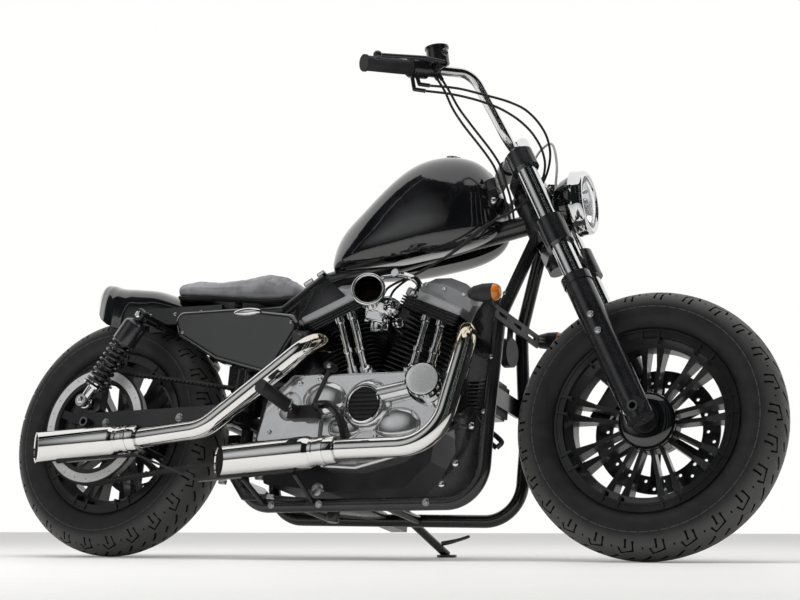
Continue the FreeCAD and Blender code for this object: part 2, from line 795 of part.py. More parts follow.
def handlebar():
    """The bar on its two risers."""
    left = [BAR_END, BAR_RISE, fork_point(RISER_TOP, RISER_AHEAD, BAR_FOOT_SIDE)]
    right = [mirrored(point) for point in left]
    pieces = [bent_bar(left + right[::-1], BAR_R, BAR_BEND_R)]
    for side in (-1, 1):
        foot = fork_point(UPPER_CLAMP_TO + SEAT_GAP, RISER_AHEAD, side * RISER_SPREAD)
        top = fork_point(RISER_TOP + RISER_R, RISER_AHEAD, side * RISER_SPREAD)
        pieces.append(bar(foot, top, RISER_R))
    return fuse(pieces)


def on_bar(distance):
    """A point on the left end of the bar, by its distance in from the end."""
    return BAR_END + (BAR_RISE - BAR_END).normalize() * distance


def grip():
    """The left hand grip: a ribbed sleeve with a closed end."""
    inward = (BAR_RISE - BAR_END).normalize()
    pieces = [bar(on_bar(-GRIP_END_T), on_bar(GRIP_L), GRIP_R)]
    for distance in (-GRIP_END_T, GRIP_L - GRIP_END_T):
        pieces.append(Part.makeCylinder(GRIP_RIB_R, GRIP_END_T, on_bar(distance), inward))
    return fuse(pieces).cut(bar(on_bar(-SEAT_GAP), on_bar(GRIP_L + OVERRUN), BAR_R + SEAT_GAP))


def hand_control(with_reservoir):
    """The left switch housing, lever perch and lever, clamped on the bar."""
    inward = (BAR_RISE - BAR_END).normalize()
    ahead = V(-inward.y, inward.x, 0).normalize()
    upward = inward.cross(ahead).normalize()
    housing_from = GRIP_L + SEAT_GAP
    perch_from = housing_from + HOUSING_L
    housing = bar(on_bar(housing_from), on_bar(perch_from), HOUSING_R)
    perch = bar(on_bar(perch_from - OVERRUN / 2), on_bar(perch_from + PERCH_L), PERCH_R)
    reach = on_bar(perch_from + PERCH_L / 2)
    pivot = reach + ahead * LEVER_REACH
    arm = bar(reach, pivot, PERCH_R * ARM_SHARE)
    knee = on_bar(GRIP_L) + ahead * (LEVER_REACH + LEVER_BOW)
    tip = on_bar(0) + ahead * LEVER_REACH
    lever = [bar(pivot, knee, LEVER_R), bar(knee, tip, LEVER_R), Part.makeSphere(LEVER_R * 2, tip)]
    lever.append(Part.makeSphere(LEVER_R, knee))
    pieces = [housing, perch, arm] + lever
    if with_reservoir:
        foot = reach + ahead * (LEVER_REACH * ARM_SHARE)
        pieces.append(bar(foot, foot + upward * RESERVOIR_H, RESERVOIR_R))
        lid = foot + upward * RESERVOIR_H
        pieces.append(bar(lid, lid + upward * LID_T, RESERVOIR_R + LID_T / 2))
        for gland in wire_glands():
            pieces.append(bar(gland - GLAND_DROP, gland, ELBOW_R))
        for first, corner, last in THROTTLE_ELBOWS:
            pieces += [bar(first, corner, ELBOW_R), bar(corner, last, ELBOW_R), Part.makeSphere(ELBOW_R, corner)]
    bore_end = on_bar(perch_from + PERCH_L + OVERRUN)
    return fuse(pieces).cut(bar(on_bar(housing_from - OVERRUN), bore_end, BAR_R + SEAT_GAP))


def wire_glands():
    """Where the wires leave the perch, drawn on the left side."""
    perch = GRIP_L + HOUSING_L + PERCH_L / 2
    return [on_bar(perch) + GLAND_DROP, on_bar(perch + GLAND_SPACING) + GLAND_DROP]


def on_front(point):
    """A point that is fixed on the frame, in the coordinates of the unturned front end."""
    return turn_placement().inverse().multVec(V(*point))


def cable(turning, fixed):
    """One cable along its route, each bend as wide as its two runs allow."""
    points = [V(*point) for point in turning] + [on_front(point) for point in fixed]
    points[0] = points[0] + (points[1] - points[0]).normalize() * SEAT_GAP
    bends = []
    for before, here, after in zip(points, points[1:], points[2:]):
        half_turn = (math.pi - (before - here).getAngle(after - here)) / 2
        shorter = min((before - here).Length, (after - here).Length)
        bends.append(CABLE_BEND_SHARE * shorter / math.tan(half_turn))
    spine = path(points, bends)
    tube = bent_bar(points, CABLE_R, bends)
    share = tube.Volume / (math.pi * CABLE_R * CABLE_R * spine.Length)
    print("cable length", round(spine.Length), "least bend", round(min(bends)), "volume share", round(share, 4))
    return tube


def control_cables():
    """The throttle cables and the wires of the right control, whole, from the bars to the frame."""
    tubes = [cable(turning, fixed) for turning, fixed in THROTTLE_CABLES]
    for gland, (turning, fixed) in zip(wire_glands(), WIRE_CABLES):
        start = mirrored(gland)
        tubes.append(cable([(start.x, start.y, start.z)] + turning, fixed))
    return Part.makeCompound(tubes)


def across(shape):
    """The same shape on the other side of the machine."""
    return shape.mirror(ORIGIN, Y_DIR)


def lamp_turned(profile):
    """A form turned about the headlight's axis, from (radius, distance behind the lens) points."""
    points = [V(-depth, 0, radius) for radius, depth in profile]
    form = Part.Face(Part.makePolygon(points + points[:1])).revolve(ORIGIN, X_DIR, 360)
    form.Placement = FreeCAD.Placement(LAMP_CENTRE, FreeCAD.Rotation(Y_DIR, -LAMP_TILT))
    return form


# The bowl's section as shares of the lamp's radius and of the bowl's depth
BOWL_SHARES = [(0.93, 0.25), (0.90, 0.45), (0.80, 0.66), (0.62, 0.84), (0.36, 0.96), (0.0, 1.0)]


def headlight_shell():
    """The bowl with its trim ring, hollow, on a bracket from the lower clamp."""
    outer = [(LAMP_R * r, LAMP_BOWL_DEPTH * d) for r, d in BOWL_SHARES]
    scale = 1 - LENS_T / LAMP_R
    inner = [(r * scale, d - LENS_T) for r, d in outer[::-1]]
    inner[0] = (0, inner[0][1])
    ring = [(LAMP_R - LAMP_RING_W, 0), (LAMP_R, 0), (LAMP_R, LAMP_RING_DEPTH)]
    shell = lamp_turned(ring + outer + inner)
    bracket = fork_block(
        (LOWER_CLAMP_TO - CLAMP_PLATE_T * 2, LOWER_CLAMP_TO + BRACKET_RISE),
        (FORK_OFFSET + CLAMP_WALL + SEAT_GAP, FORK_OFFSET + CLAMP_WALL * 2),
        (-RISER_R, RISER_R),
    )
    inside = lamp_turned(inner + [(LAMP_R - LAMP_RING_W, 0)])
    return fuse([shell, bracket.cut(inside)])


def headlight_lens():
    """The domed glass, seated in the ring."""
    radius = LAMP_R - LAMP_RING_W - SEAT_GAP
    ball_r = (radius * radius + LENS_BULGE * LENS_BULGE) / (2 * LENS_BULGE)
    ball_centre = V(LENS_BULGE - ball_r, 0, 0)
    dome = Part.makeSphere(ball_r, ball_centre).cut(Part.makeSphere(ball_r - LENS_T, ball_centre))
    glass = dome.common(Part.makeCylinder(radius, ball_r * 2, ORIGIN, X_DIR))
    glass.Placement = FreeCAD.Placement(LAMP_CENTRE, FreeCAD.Rotation(Y_DIR, -LAMP_TILT))
    return glass


def frame_neck():
    """The steering neck and the backbone under the tank."""
    neck = bar(fork_point(NECK_FROM), fork_point(NECK_TO), NECK_R)
    spine = bar(fork_point((NECK_FROM + NECK_TO) / 2), BACKBONE_END, BACKBONE_R)
    bore = bar(fork_point(NECK_FROM - OVERRUN), fork_point(NECK_TO + OVERRUN), STEM_R + PIN_GAP)
    return fuse([neck, spine]).cut(bore)


def downtube(side, radius):
    """One front downtube, from the neck over its knee to a little below the lower rail's top."""
    top = fork_point(NECK_FROM + NECK_R, 0, side * NECK_R / 2)
    knee = V(DOWNTUBE_KNEE.x, side * DOWNTUBE_KNEE.y, DOWNTUBE_KNEE.z)
    foot = rail_start(side)
    return bent_bar([top, knee, foot + (foot - knee).normalize() * TUBE_R], radius, RAIL_BEND)


def rail_start(side):
    """Where the downtube and the lower rail meet."""
    return V(RAIL_FRONT_X, side * FRAME_HALF_W, RAIL_TOP_Z)


def frame_downtubes():
    """Both downtubes, the cross tube between them and the regulator's plate."""
    tubes = [downtube(1, TUBE_R), downtube(-1, TUBE_R)]
    across_bar = bar(mirrored(DOWNTUBE_KNEE), DOWNTUBE_KNEE, TUBE_R * CROSS_SHARE)
    plate_front = DOWNTUBE_KNEE.x - TUBE_R + MOUNT_PLATE_SET
    plate = block(
        V(plate_front - MOUNT_PLATE_T, -FRAME_HALF_W + TUBE_R, REGULATOR_Z - LUG_HALF),
        V(plate_front, FRAME_HALF_W - TUBE_R, REGULATOR_Z + LUG_HALF),
    )
    shape = fuse(tubes + [across_bar, plate])
    neck = bar(fork_point(NECK_FROM - OVERRUN), fork_point(NECK_TO + OVERRUN), NECK_R + SEAT_GAP)
    below = block(V(RAIL_REAR_X, -WHEELBASE, 0), V(WHEELBASE, WHEELBASE, RAIL_TOP_Z))
    return shape.cut([neck, below])


def lower_rail(side):
    """One lower rail: forward bend, run under the engine and rise to the pivot."""
    points = [
        rail_start(side) - Z_DIR * SEAT_GAP,
        V(RAIL_FRONT_X, side * FRAME_HALF_W, RAIL_Z),
        V(RAIL_REAR_X, side * REAR_HALF_W, RAIL_Z),
        V(RAIL_REAR_X, side * REAR_HALF_W, PIVOT_Z - PIVOT_R - SEAT_GAP),
    ]
    return bent_bar(points, TUBE_R, RAIL_BEND)


def rail_y(x):
    """A lower rail's distance from the machine's middle."""
    return REAR_HALF_W + (FRAME_HALF_W - REAR_HALF_W) * (x - RAIL_REAR_X) / (RAIL_FRONT_X - RAIL_REAR_X)


def lower_rails(lean):
    """Both lower rails with their cross tubes, the stand's lug and pin, and the exhaust hanger."""
    pieces = [lower_rail(1), lower_rail(-1)] + exhaust_hanger()
    for x in (RAIL_REAR_X + RAIL_BEND * 2, STAND_PIVOT.x + RAIL_BEND):
        pieces.append(bar(V(x, -rail_y(x), RAIL_Z), V(x, rail_y(x), RAIL_Z), TUBE_R * CROSS_SHARE))
    lug_low = V(STAND_PIVOT.x - LUG_HALF, CASE_HALF_W + SEAT_GAP, RAIL_Z - TUBE_R)
    lug_high = V(STAND_PIVOT.x + LUG_HALF, STAND_PIVOT.y, STAND_LUG_Z)
    axis = lean.Rotation.inverted().multVec(stand_axis(lean))
    pin = bar(STAND_PIVOT - axis * STAND_PIN_L, STAND_PIVOT + axis * (STAND_LEG_R + PIN_GAP), STAND_PIN_R)
    return fuse(pieces + [block(lug_low, lug_high), pin])


def frame_rear():
    """The rear section: pivot tube, uprights, seat rails and the fender's struts."""
    pivot = bar(V(PIVOT_X, -PIVOT_HALF, PIVOT_Z), V(PIVOT_X, PIVOT_HALF, PIVOT_Z), PIVOT_R)
    pieces = [pivot]
    strut_y = FENDER_HALF_W + SEAT_GAP + STRUT_T / 2
    for side in (-1, 1):
        low = V(PIVOT_X, side * REAR_HALF_W, PIVOT_Z)
        high = V(PIVOT_X, side * REAR_HALF_W, SEAT_RAIL_Z)
        pieces.append(bar(low, high, TUBE_R))
        nose = V(BACKBONE_END.x, side * BACKBONE_R, BACKBONE_END.z)
        knee = V(SEAT_KNEE_X, side * REAR_HALF_W, SEAT_RAIL_Z)
        mid = V(PIVOT_X, side * REAR_HALF_W, SEAT_RAIL_Z)
        tail = V(STRUT_FRONT_X, side * (strut_y - STRUT_T / 2 - TUBE_R + STRUT_T), STRUT_Z)
        pieces.append(bar(nose, knee, TUBE_R))
        pieces.append(bar(knee, mid, TUBE_R))
        pieces.append(bar(mid, tail, TUBE_R))
        pieces.append(Part.makeSphere(TUBE_R, knee))
        pieces.append(Part.makeSphere(TUBE_R, mid))
        strut = block(
            V(STRUT_REAR_X, side * strut_y - STRUT_T / 2, STRUT_Z - STRUT_H / 2),
            V(STRUT_FRONT_X + STRUT_H, side * strut_y + STRUT_T / 2, STRUT_Z + STRUT_H / 2),
        )
        pieces.append(strut)
        stud = bar(
            V(SHOCK_HEAD_X, side * strut_y, SHOCK_HEAD_Z),
            V(SHOCK_HEAD_X, side * (SHOCK_Y - SHOCK_EYE_R - SEAT_GAP), SHOCK_HEAD_Z),
            SHOCK_EYE_R * CROSS_SHARE,
        )
        pieces.append(stud)
        plate = block(
            V(SHOCK_HEAD_X - STRUT_H / 2, side * strut_y - STRUT_T / 2, SHOCK_HEAD_Z - STRUT_H / 2),
            V(SHOCK_HEAD_X + STRUT_H / 2, side * strut_y + STRUT_T / 2, STRUT_Z),
        )
        pieces.append(plate)
    for end in (V(PIVOT_X, REAR_HALF_W, SEAT_RAIL_Z), BACKBONE_END + Y_DIR * BACKBONE_R):
        pieces.append(bar(mirrored(end), end, TUBE_R))
    shape = fuse(pieces)
    spine = bar(fork_point((NECK_FROM + NECK_TO) / 2), BACKBONE_END, BACKBONE_R + SEAT_GAP)
    return shape.cut(spine)


def swingarm():
    """The swingarm: eyes at the pivot, two box arms, a cross tube and axle plates."""
    pieces = []
    for side in (-1, 1):
        inner = side * (ARM_Y - ARM_T / 2)
        outer = side * (ARM_Y + ARM_T / 2)
        outline = [
            (-ARM_H / 2, REAR_HUB.z - ARM_H / 2),
            (PIVOT_X, PIVOT_Z - ARM_H / 2),
            (PIVOT_X, PIVOT_Z + ARM_H / 2),
            (-ARM_H / 2, REAR_HUB.z + ARM_H / 2),
        ]
        pieces.append(slab(outline, inner, outer))
        eye = V(PIVOT_X, side * ARM_Y, PIVOT_Z)
        pieces.append(disc(eye, Y_DIR, ARM_H / 2, ARM_T))
        stud = bar(
            V(SHOCK_FOOT_X, side * ARM_Y, SHOCK_FOOT_Z),
            V(SHOCK_FOOT_X, side * (SHOCK_Y - SHOCK_EYE_R - SEAT_GAP), SHOCK_FOOT_Z),
            SHOCK_EYE_R * CROSS_SHARE,
        )
        lug = block(
            V(SHOCK_FOOT_X - SHOCK_EYE_R, side * ARM_Y - ARM_T / 2, REAR_HUB.z),
            V(SHOCK_FOOT_X + SHOCK_EYE_R, side * ARM_Y + ARM_T / 2, SHOCK_FOOT_Z + SHOCK_EYE_R),
        )
        pieces += [stud, lug]
    cross_x = (REAR_TYRE_R + PIVOT_X - ARM_H / 2) / 2 + TUBE_R
    pieces.append(bar(V(cross_x, -ARM_Y, PIVOT_Z), V(cross_x, ARM_Y, PIVOT_Z), TUBE_R))
    shape = fuse(pieces)
    return shape.cut(disc(REAR_HUB, Y_DIR, AXLE_R + SEAT_GAP, REAR_AXLE_HALF * 2 + OVERRUN))


def shock(side):
    """A shock absorber: eyes, body, spring and the square top cover."""
    foot = V(SHOCK_FOOT_X, side * SHOCK_Y, SHOCK_FOOT_Z)
    head = V(SHOCK_HEAD_X, side * SHOCK_Y, SHOCK_HEAD_Z)
    along = (head - foot).normalize()
    length = (head - foot).Length
    low = length * SHOCK_LOW_SHARE
    high = length * SHOCK_HIGH_SHARE
    cap = length * SHOCK_CAP_SHARE
    rod_r = SHOCK_BODY_R * CROSS_SHARE
    profile = [(0, 0), (rod_r, 0), (SHOCK_BODY_R, SHOCK_EYE_R), (SHOCK_BODY_R, low)]
    profile += [(SHOCK_SPRING_R, low), (SHOCK_SPRING_R, low + SHOCK_WIRE_R), (SHOCK_BODY_R, low + SHOCK_WIRE_R)]
    pitch = (high - low - SHOCK_WIRE_R) / SHOCK_COILS
    for i in range(SHOCK_COILS):
        centre = low + SHOCK_WIRE_R + pitch * (i + COIL_SHARE)
        profile.append((SHOCK_BODY_R, centre - SHOCK_WIRE_R))
        profile.append((SHOCK_SPRING_R, centre - SHOCK_WIRE_R / 2))
        profile.append((SHOCK_SPRING_R, centre + SHOCK_WIRE_R / 2))
        profile.append((SHOCK_BODY_R, centre + SHOCK_WIRE_R))
    profile += [(SHOCK_BODY_R, high), (SHOCK_SPRING_R, high), (SHOCK_SPRING_R, cap), (rod_r, cap)]
    profile += [(rod_r, length), (0, length)]
    points = [V(radius, 0, up) for radius, up in profile]
    body = Part.Face(Part.makePolygon(points + points[:1])).revolve(ORIGIN, Z_DIR, 360)
    body.Placement = FreeCAD.Placement(foot, FreeCAD.Rotation(Z_DIR, along))
    eyes = [disc(foot, Y_DIR, SHOCK_EYE_R, SHOCK_EYE_R * 2), disc(head, Y_DIR, SHOCK_EYE_R, SHOCK_EYE_R * 2)]
    return fuse([body] + eyes)


def cylinder_axis(side):
    """Upward direction of the front (1) or rear (-1) cylinder."""
    lean = math.radians(V_HALF_ANGLE)
    return V(side * math.sin(lean), 0, math.cos(lean))


def bank(side, up, fore, out=0):
    """A point of a cylinder bank: up its axis, fore of it, and out across the machine."""
    axis = cylinder_axis(side)
    fore_dir = V(axis.z, 0, -axis.x)
    return V(CRANK_X, 0, CRANK_Z) + axis * up + fore_dir * fore + Y_DIR * out


def bank_block(side, up, fore, out):
    """A box in a cylinder bank, from (low, high) pairs."""
    axis = cylinder_axis(side)
    turn = FreeCAD.Rotation(V(axis.z, 0, -axis.x), Y_DIR, axis)
    shape = Part.makeBox(fore[1] - fore[0], out[1] - out[0], up[1] - up[0])
    shape.Placement = FreeCAD.Placement(bank(side, up[0], fore[0], out[0]), turn)
    return shape


def cylinder(side):
    """A finned cylinder and its head."""
    axis = cylinder_axis(side)
    foot = bank(side, CYLINDER_FOOT + SEAT_GAP, 0)
    pieces = [bar(foot, bank(side, CYLINDER_TOP, 0), CYLINDER_R)]
    pitch = (HEAD_FROM - CYLINDER_FOOT) / FIN_COUNT
    for i in range(FIN_COUNT):
        up = CYLINDER_FOOT + pitch * i + (pitch - FIN_T) / 2
        corners = [
            bank(side, up, -FIN_HALF, -FIN_HALF),
            bank(side, up, FIN_HALF, -FIN_HALF),
            bank(side, up, FIN_HALF, FIN_HALF),
            bank(side, up, -FIN_HALF, FIN_HALF),
        ]
        fin = Part.Face(rounded_wire(corners, FIN_CORNER)).extrude(axis * FIN_T)
        pieces.append(fin)
    head = bank_block(side, (HEAD_FROM, CYLINDER_TOP), (-FIN_HALF, FIN_HALF), (-HEAD_HALF_W, HEAD_HALF_W))
    pieces.append(head)
    shape = fuse(pieces)
    far = FIN_HALF + CYLINDER_TOP
    if side > 0:
        wrong = block(V(CRANK_X - far, -far, CRANK_Z), V(CRANK_X + PIN_GAP, far, CRANK_Z + far))
    else:
        wrong = block(V(CRANK_X - PIN_GAP, -far, CRANK_Z), V(CRANK_X + far, far, CRANK_Z + far))
    return shape.cut(wrong)


# The rocker box's side outline as shares of its length and height
ROCKER_SHARES = [
    (-0.5, 0), (0.5, 0), (0.5, 0.30), (0.36, 0.78), (0.12, 1.0), (-0.16, 1.0), (-0.42, 0.72), (-0.5, 0.40)
]


def rocker_box(side):
    """A rocker box on a cylinder head, its ends sloped and its long edges rounded."""
    ends = []
    drop = 1 - ROCKER_SLOPE / ROCKER_H
    inset = 1 - ROCKER_SLOPE / ROCKER_W * 2
    for out, rise in ((-1, drop), (-inset, 1), (inset, 1), (1, drop)):
        points = []
        for fore, up in ROCKER_SHARES:
            height = CYLINDER_TOP + SEAT_GAP + up * ROCKER_H * (rise if up > ROCKER_SHARES[2][1] else 1)
            points.append(bank(side, height, -side * fore * ROCKER_L, out * ROCKER_W / 2))
        ends.append(Part.makePolygon(points + points[:1]))
    return Part.makeLoft(ends, True, True)


def crankcase():
    """The crankcase with its cylinder decks and the belt's front pulley."""
    deck_rear = bank(-1, CYLINDER_FOOT, -DECK_HALF)
    deck_front = bank(1, CYLINDER_FOOT, DECK_HALF)
    top = CYLINDER_FOOT / math.cos(math.radians(V_HALF_ANGLE))
    outline = [
        (deck_rear.x, deck_rear.z),
        (CRANK_X, CRANK_Z + top),
        (deck_front.x, deck_front.z),
    ] + [(CRANK_X + CASE_L * x, CRANK_Z + CASE_L * z) for x, z in CASE_SHARES]
    case = slab(outline, -CASE_HALF_W, CASE_HALF_W)
    shaft = bar(V(DRIVE_X, 0, DRIVE_Z), V(DRIVE_X, -PULLEY_Y, DRIVE_Z), AXLE_R * 2)
    pulley = disc(V(DRIVE_X, -PULLEY_Y, DRIVE_Z), Y_DIR, DRIVE_PULLEY_R, BELT_W)
    return fuse([case, shaft, pulley])


# The crankcase below its decks, as shares of its reach from the crank, and the chrome covers
CASE_SHARES = [
    (0.52, 0.10), (0.50, -0.14), (0.30, -0.33), (-0.30, -0.35),
    (-0.86, -0.28), (-0.98, 0.0), (-0.94, 0.42), (-0.55, 0.54),
]
GEARCASE_SHARES = [
    (0.56, 0.25), (0.62, 0.16), (0.55, 0.02), (0.30, -0.14),
    (-0.02, -0.22), (-0.34, -0.20), (-0.34, 0.49), (0.42, 0.49),
]
SPROCKET_COVER_SHARES = [
    (-0.32, 0.49), (-0.32, -0.20), (-0.70, -0.20), (-0.86, 0.0), (-0.80, 0.30), (-0.60, 0.49),
]


def case_outline(shares):
    """Outline points about the crank."""
    return [(CRANK_X + CASE_L * x, CRANK_Z + CASE_L * z) for x, z in shares]


def gearcase_cover():
    """The cover over the timing gears, with the thin cover over the belt's front pulley."""
    inner = -CASE_HALF_W - SEAT_GAP
    outer = inner - GEARCASE_T
    gears = eased(rounded_slab(case_outline(GEARCASE_SHARES), outer, inner, CASE_CORNER), outer, CASE_ROUND)
    cover_in = -PULLEY_Y - BELT_W / 2 - MOVING_GAP
    cover_out = cover_in - SPROCKET_COVER_T
    sprocket = rounded_slab(case_outline(SPROCKET_COVER_SHARES), cover_out, cover_in, CASE_CORNER)
    sprocket = eased(sprocket, cover_out, CASE_ROUND)
    timer = V(TIMER_X, outer, TIMER_Z)
    ring = disc(timer, Y_DIR, TIMER_R + TIMER_RING_W, TIMER_RING_T * 2)
    ring = ring.cut(disc(timer - Y_DIR * TIMER_RING_T, Y_DIR, TIMER_R + SEAT_GAP, TIMER_RING_T * 2))
    return fuse([gears, sprocket, ring])


def eased(shape, y, radius):
    """The shape with the edges of its flat face at one y rounded."""
    rim_edges = [
        item for item in shape.Edges if abs(item.BoundBox.YMin - y) + abs(item.BoundBox.YMax - y) < SEAT_GAP
    ]
    return shape.makeFillet(radius, rim_edges)


def timer_cover():
    """The round ribbed cover on the gearcase."""
    face = -CASE_HALF_W - GEARCASE_T - SEAT_GAP * 2
    plate_t = TIMER_T - TIMER_RIB_T
    plate = disc(V(TIMER_X, face - plate_t / 2, TIMER_Z), Y_DIR, TIMER_R, plate_t)
    dome = disc(V(TIMER_X, face - TIMER_T / 2, TIMER_Z), Y_DIR, TIMER_R - TIMER_RIB_T, TIMER_T)
    pitch = TIMER_R * 2 / (TIMER_RIBS + 1)
    ribs = []
    for i in range(TIMER_RIBS):
        z = TIMER_Z - TIMER_R + pitch * (i + 1)
        low = V(TIMER_X - TIMER_R, face - TIMER_T, z - pitch / 4)
        rib = block(low, low + V(TIMER_R * 2, TIMER_T - plate_t / 2, pitch / 2))
        ribs.append(rib.common(dome))
    return fuse([plate] + ribs)


def primary_cover():
    """The long oval cover on the left, round the crank and the clutch."""
    inner = CASE_HALF_W + SEAT_GAP
    crank = disc(V(CRANK_X, inner + PRIMARY_T / 2, PRIMARY_Z), Y_DIR, PRIMARY_R, PRIMARY_T)
    clutch = disc(V(CLUTCH_X, inner + PRIMARY_T / 2, CLUTCH_Z), Y_DIR, PRIMARY_R, PRIMARY_T)
    bridge = slab(
        [
            (CRANK_X, PRIMARY_Z - PRIMARY_R),
            (CRANK_X, PRIMARY_Z + PRIMARY_R),
            (CLUTCH_X, CLUTCH_Z + PRIMARY_R),
            (CLUTCH_X, CLUTCH_Z - PRIMARY_R),
        ],
        inner,
        inner + PRIMARY_T,
    )
    return eased(fuse([crank, clutch, bridge]), inner + PRIMARY_T, PRIMARY_ROUND)


def pushrod_tube(side, foot_x, tilt):
    """A pushrod tube from the gearcase to the underside of a head."""
    foot = V(foot_x, -PUSHROD_FOOT_Y, CRANK_Z + CASE_L * GEARCASE_SHARES[-1][1] + SEAT_GAP)
    rise = V(-math.tan(math.radians(tilt)), (PUSHROD_FOOT_Y - PUSHROD_HEAD_Y) / (HEAD_FROM - CYLINDER_FOOT), 1)
    axis = cylinder_axis(side)
    above = (HEAD_FROM - SEAT_GAP) - (foot - V(CRANK_X, 0, CRANK_Z)).dot(axis)
    head = foot + rise * (above / rise.dot(axis))
    tube = [bar(foot - rise * OVERRUN, head + rise * OVERRUN, PUSHROD_R)]
    for low, high in PUSHROD_COLLAR_SHARES:
        tube.append(bar(foot + (head - foot) * low, foot + (head - foot) * high, PUSHROD_COLLAR_R))
    tube = fuse(tube)
    floor = block(foot - V(OVERRUN * 2, OVERRUN * 2, OVERRUN * 2), foot + V(OVERRUN * 2, OVERRUN * 2, 0))
    wide = FIN_HALF * 2
    roof = bank_block(side, (HEAD_FROM - SEAT_GAP, CYLINDER_TOP), (-wide, wide), (-wide, wide))
    return tube.cut([floor, roof])


def oil_filter():
    """The oil filter canister on the front of the gearcase."""
    axis = V(FILTER_TURN_SHARE, -1, 0).normalize()
    foot = V(FILTER_X, -CASE_HALF_W - GEARCASE_T - SEAT_GAP * 2, FILTER_Z)
    corner = V(FILTER_CUP_R * 2, 0, FILTER_CUP_R * 2)
    inside = block(foot - corner, foot + corner + Y_DIR * FILTER_CUP_R)
    body = fuse(
        [
            bar(foot - axis * OVERRUN, foot + axis * FILTER_L, FILTER_R),
            bar(foot - axis * OVERRUN, foot + axis * FILTER_CUP_L, FILTER_CUP_R),
        ]
    )
    across_axis = axis.cross(Z_DIR).normalize()
    flutes = [inside]
    for i in range(FILTER_FLUTES):
        turn = FreeCAD.Rotation(axis, i * 360 / FILTER_FLUTES)
        side = turn.multVec(across_axis) * (FILTER_R + FLUTE_R / 2)
        start = foot + axis * (FILTER_L - FLUTE_L) + side
        flutes.append(bar(start, start + axis * (FLUTE_L + OVERRUN), FLUTE_R))
    return body.cut(flutes)


def header(side, points, bends, muffler_end):
    """An exhaust header pipe, from its cylinder's face to the muffler's mouth."""
    reach = FIN_HALF + SEAT_GAP
    fins = bank_block(side, (0, HEAD_FROM), (-reach, reach), (-reach, reach))
    wide = HEAD_HALF_W + SEAT_GAP
    head = bank_block(side, (HEAD_FROM - SEAT_GAP, CYLINDER_TOP), (-reach, reach), (-wide, wide))
    forward = (points[-1] - muffler_end).normalize()
    mouth = points[-1] + forward * SEAT_GAP
    room = bar(mouth, mouth - forward * MUFFLER_R, MUFFLER_R)
    return bent_bar(points, HEADER_R, bends).cut([fins, head, room])


def muffler(start, end):
    """A muffler: a cone up from the header, a straight tube and a hollow slanted tip."""
    length = (end - start).Length
    cone = MUFFLER_R
    profile = [
        (0, 0),
        (HEADER_R + PIPE_WALL + COLLAR_RISE, 0),
        (HEADER_R + PIPE_WALL + COLLAR_RISE, COLLAR_L),
        (HEADER_R + PIPE_WALL, COLLAR_L),
        (MUFFLER_R, COLLAR_L + cone),
        (MUFFLER_R, length),
        (MUFFLER_R - PIPE_WALL, length),
        (MUFFLER_R - PIPE_WALL, length - TIP_DEPTH),
        (0, length - TIP_DEPTH),
    ]
    points = [V(radius, 0, along) for radius, along in profile]
    tube = Part.Face(Part.makePolygon(points + points[:1])).revolve(ORIGIN, Z_DIR, 360)
    tube.Placement = FreeCAD.Placement(start, FreeCAD.Rotation(Z_DIR, end - start))
    reach = MUFFLER_R * 2
    cutter = Part.makeBox(reach, reach * 2, reach * 2, V(-reach, -reach, -reach))
    tilt = FreeCAD.Rotation(Y_DIR, -TIP_SLANT)
    cutter.Placement = FreeCAD.Placement(end + X_DIR * TIP_TRIM, tilt)
    return tube.cut(cutter)


def under_muffler(line, x):
    """The height just under a muffler, at a place along it."""
    start, end = line
    return start.z + (end.z - start.z) * (x - start.x) / (end.x - start.x) - MUFFLER_R - HANGER_DROP


def exhaust_hanger():
    """The flat bar under the mufflers and the two stays that carry it."""
    stations = [
        (MUFFLER_UPPER, MUFFLER_UPPER[1].x + HANGER_TAIL),
        (MUFFLER_UPPER, MUFFLER_UPPER[0].x),
        (MUFFLER_LOWER, MUFFLER_LOWER[1].x - OVERRUN),
        (MUFFLER_LOWER, MUFFLER_LOWER[1].x + HANGER_TAIL),
        (MUFFLER_LOWER, MUFFLER_LOWER[0].x - HANGER_TAIL),
    ]
    top = [(x, under_muffler(line, x)) for line, x in stations]
    bottom = [(x, z - HANGER_T) for x, z in top[::-1]]
    y = MUFFLER_UPPER[0].y
    pieces = [slab(top + bottom, y - HANGER_T, y + HANGER_T)]
    for line, x in stations[3:]:
        head = V(x, y, under_muffler(line, x) - HANGER_T * 3 / 2)
        pieces.append(bar(head, V(x, -rail_y(x), RAIL_Z), HANGER_T))
    return pieces


def spline_section(x, bottom, top, half, shares):
    """A closed smooth section across the machine, from half-section shares (out, up)."""
    right = [V(x, -half * out, bottom + (top - bottom) * up) for out, up in shares]
    left = [V(x, half * out, bottom + (top - bottom) * up) for out, up in shares[-2:0:-1]]
    curve = Part.BSplineCurve()
    curve.interpolate(right + left, PeriodicFlag=True)
    return Part.Wire(curve.toShape())


def flat_section(x, bottom, top, half, shares):
    """A closed section of straight edges across the machine, from half-section shares."""
    right = [V(x, -half * out, bottom + (top - bottom) * up) for out, up in shares]
    left = [V(x, half * out, bottom + (top - bottom) * up) for out, up in shares[-2:0:-1]]
    points = right + left
    return Part.makePolygon(points + points[:1])


# Tank stations: shares of length along it, then of height for the floor and the crown, and of half width
TANK_SHARES = [
    (0.0, 0.02, 0.12, 0.20),
    (0.07, 0.0, 0.39, 0.54),
    (0.18, 0.0, 0.55, 0.76),
    (0.33, 0.01, 0.78, 0.91),
    (0.48, 0.03, 0.95, 0.98),
    (0.62, 0.06, 1.0, 1.0),
    (0.75, 0.09, 0.98, 0.96),
    (0.86, 0.13, 0.90, 0.86),
    (0.94, 0.18, 0.75, 0.70),
    (1.0, 0.25, 0.58, 0.44),
]
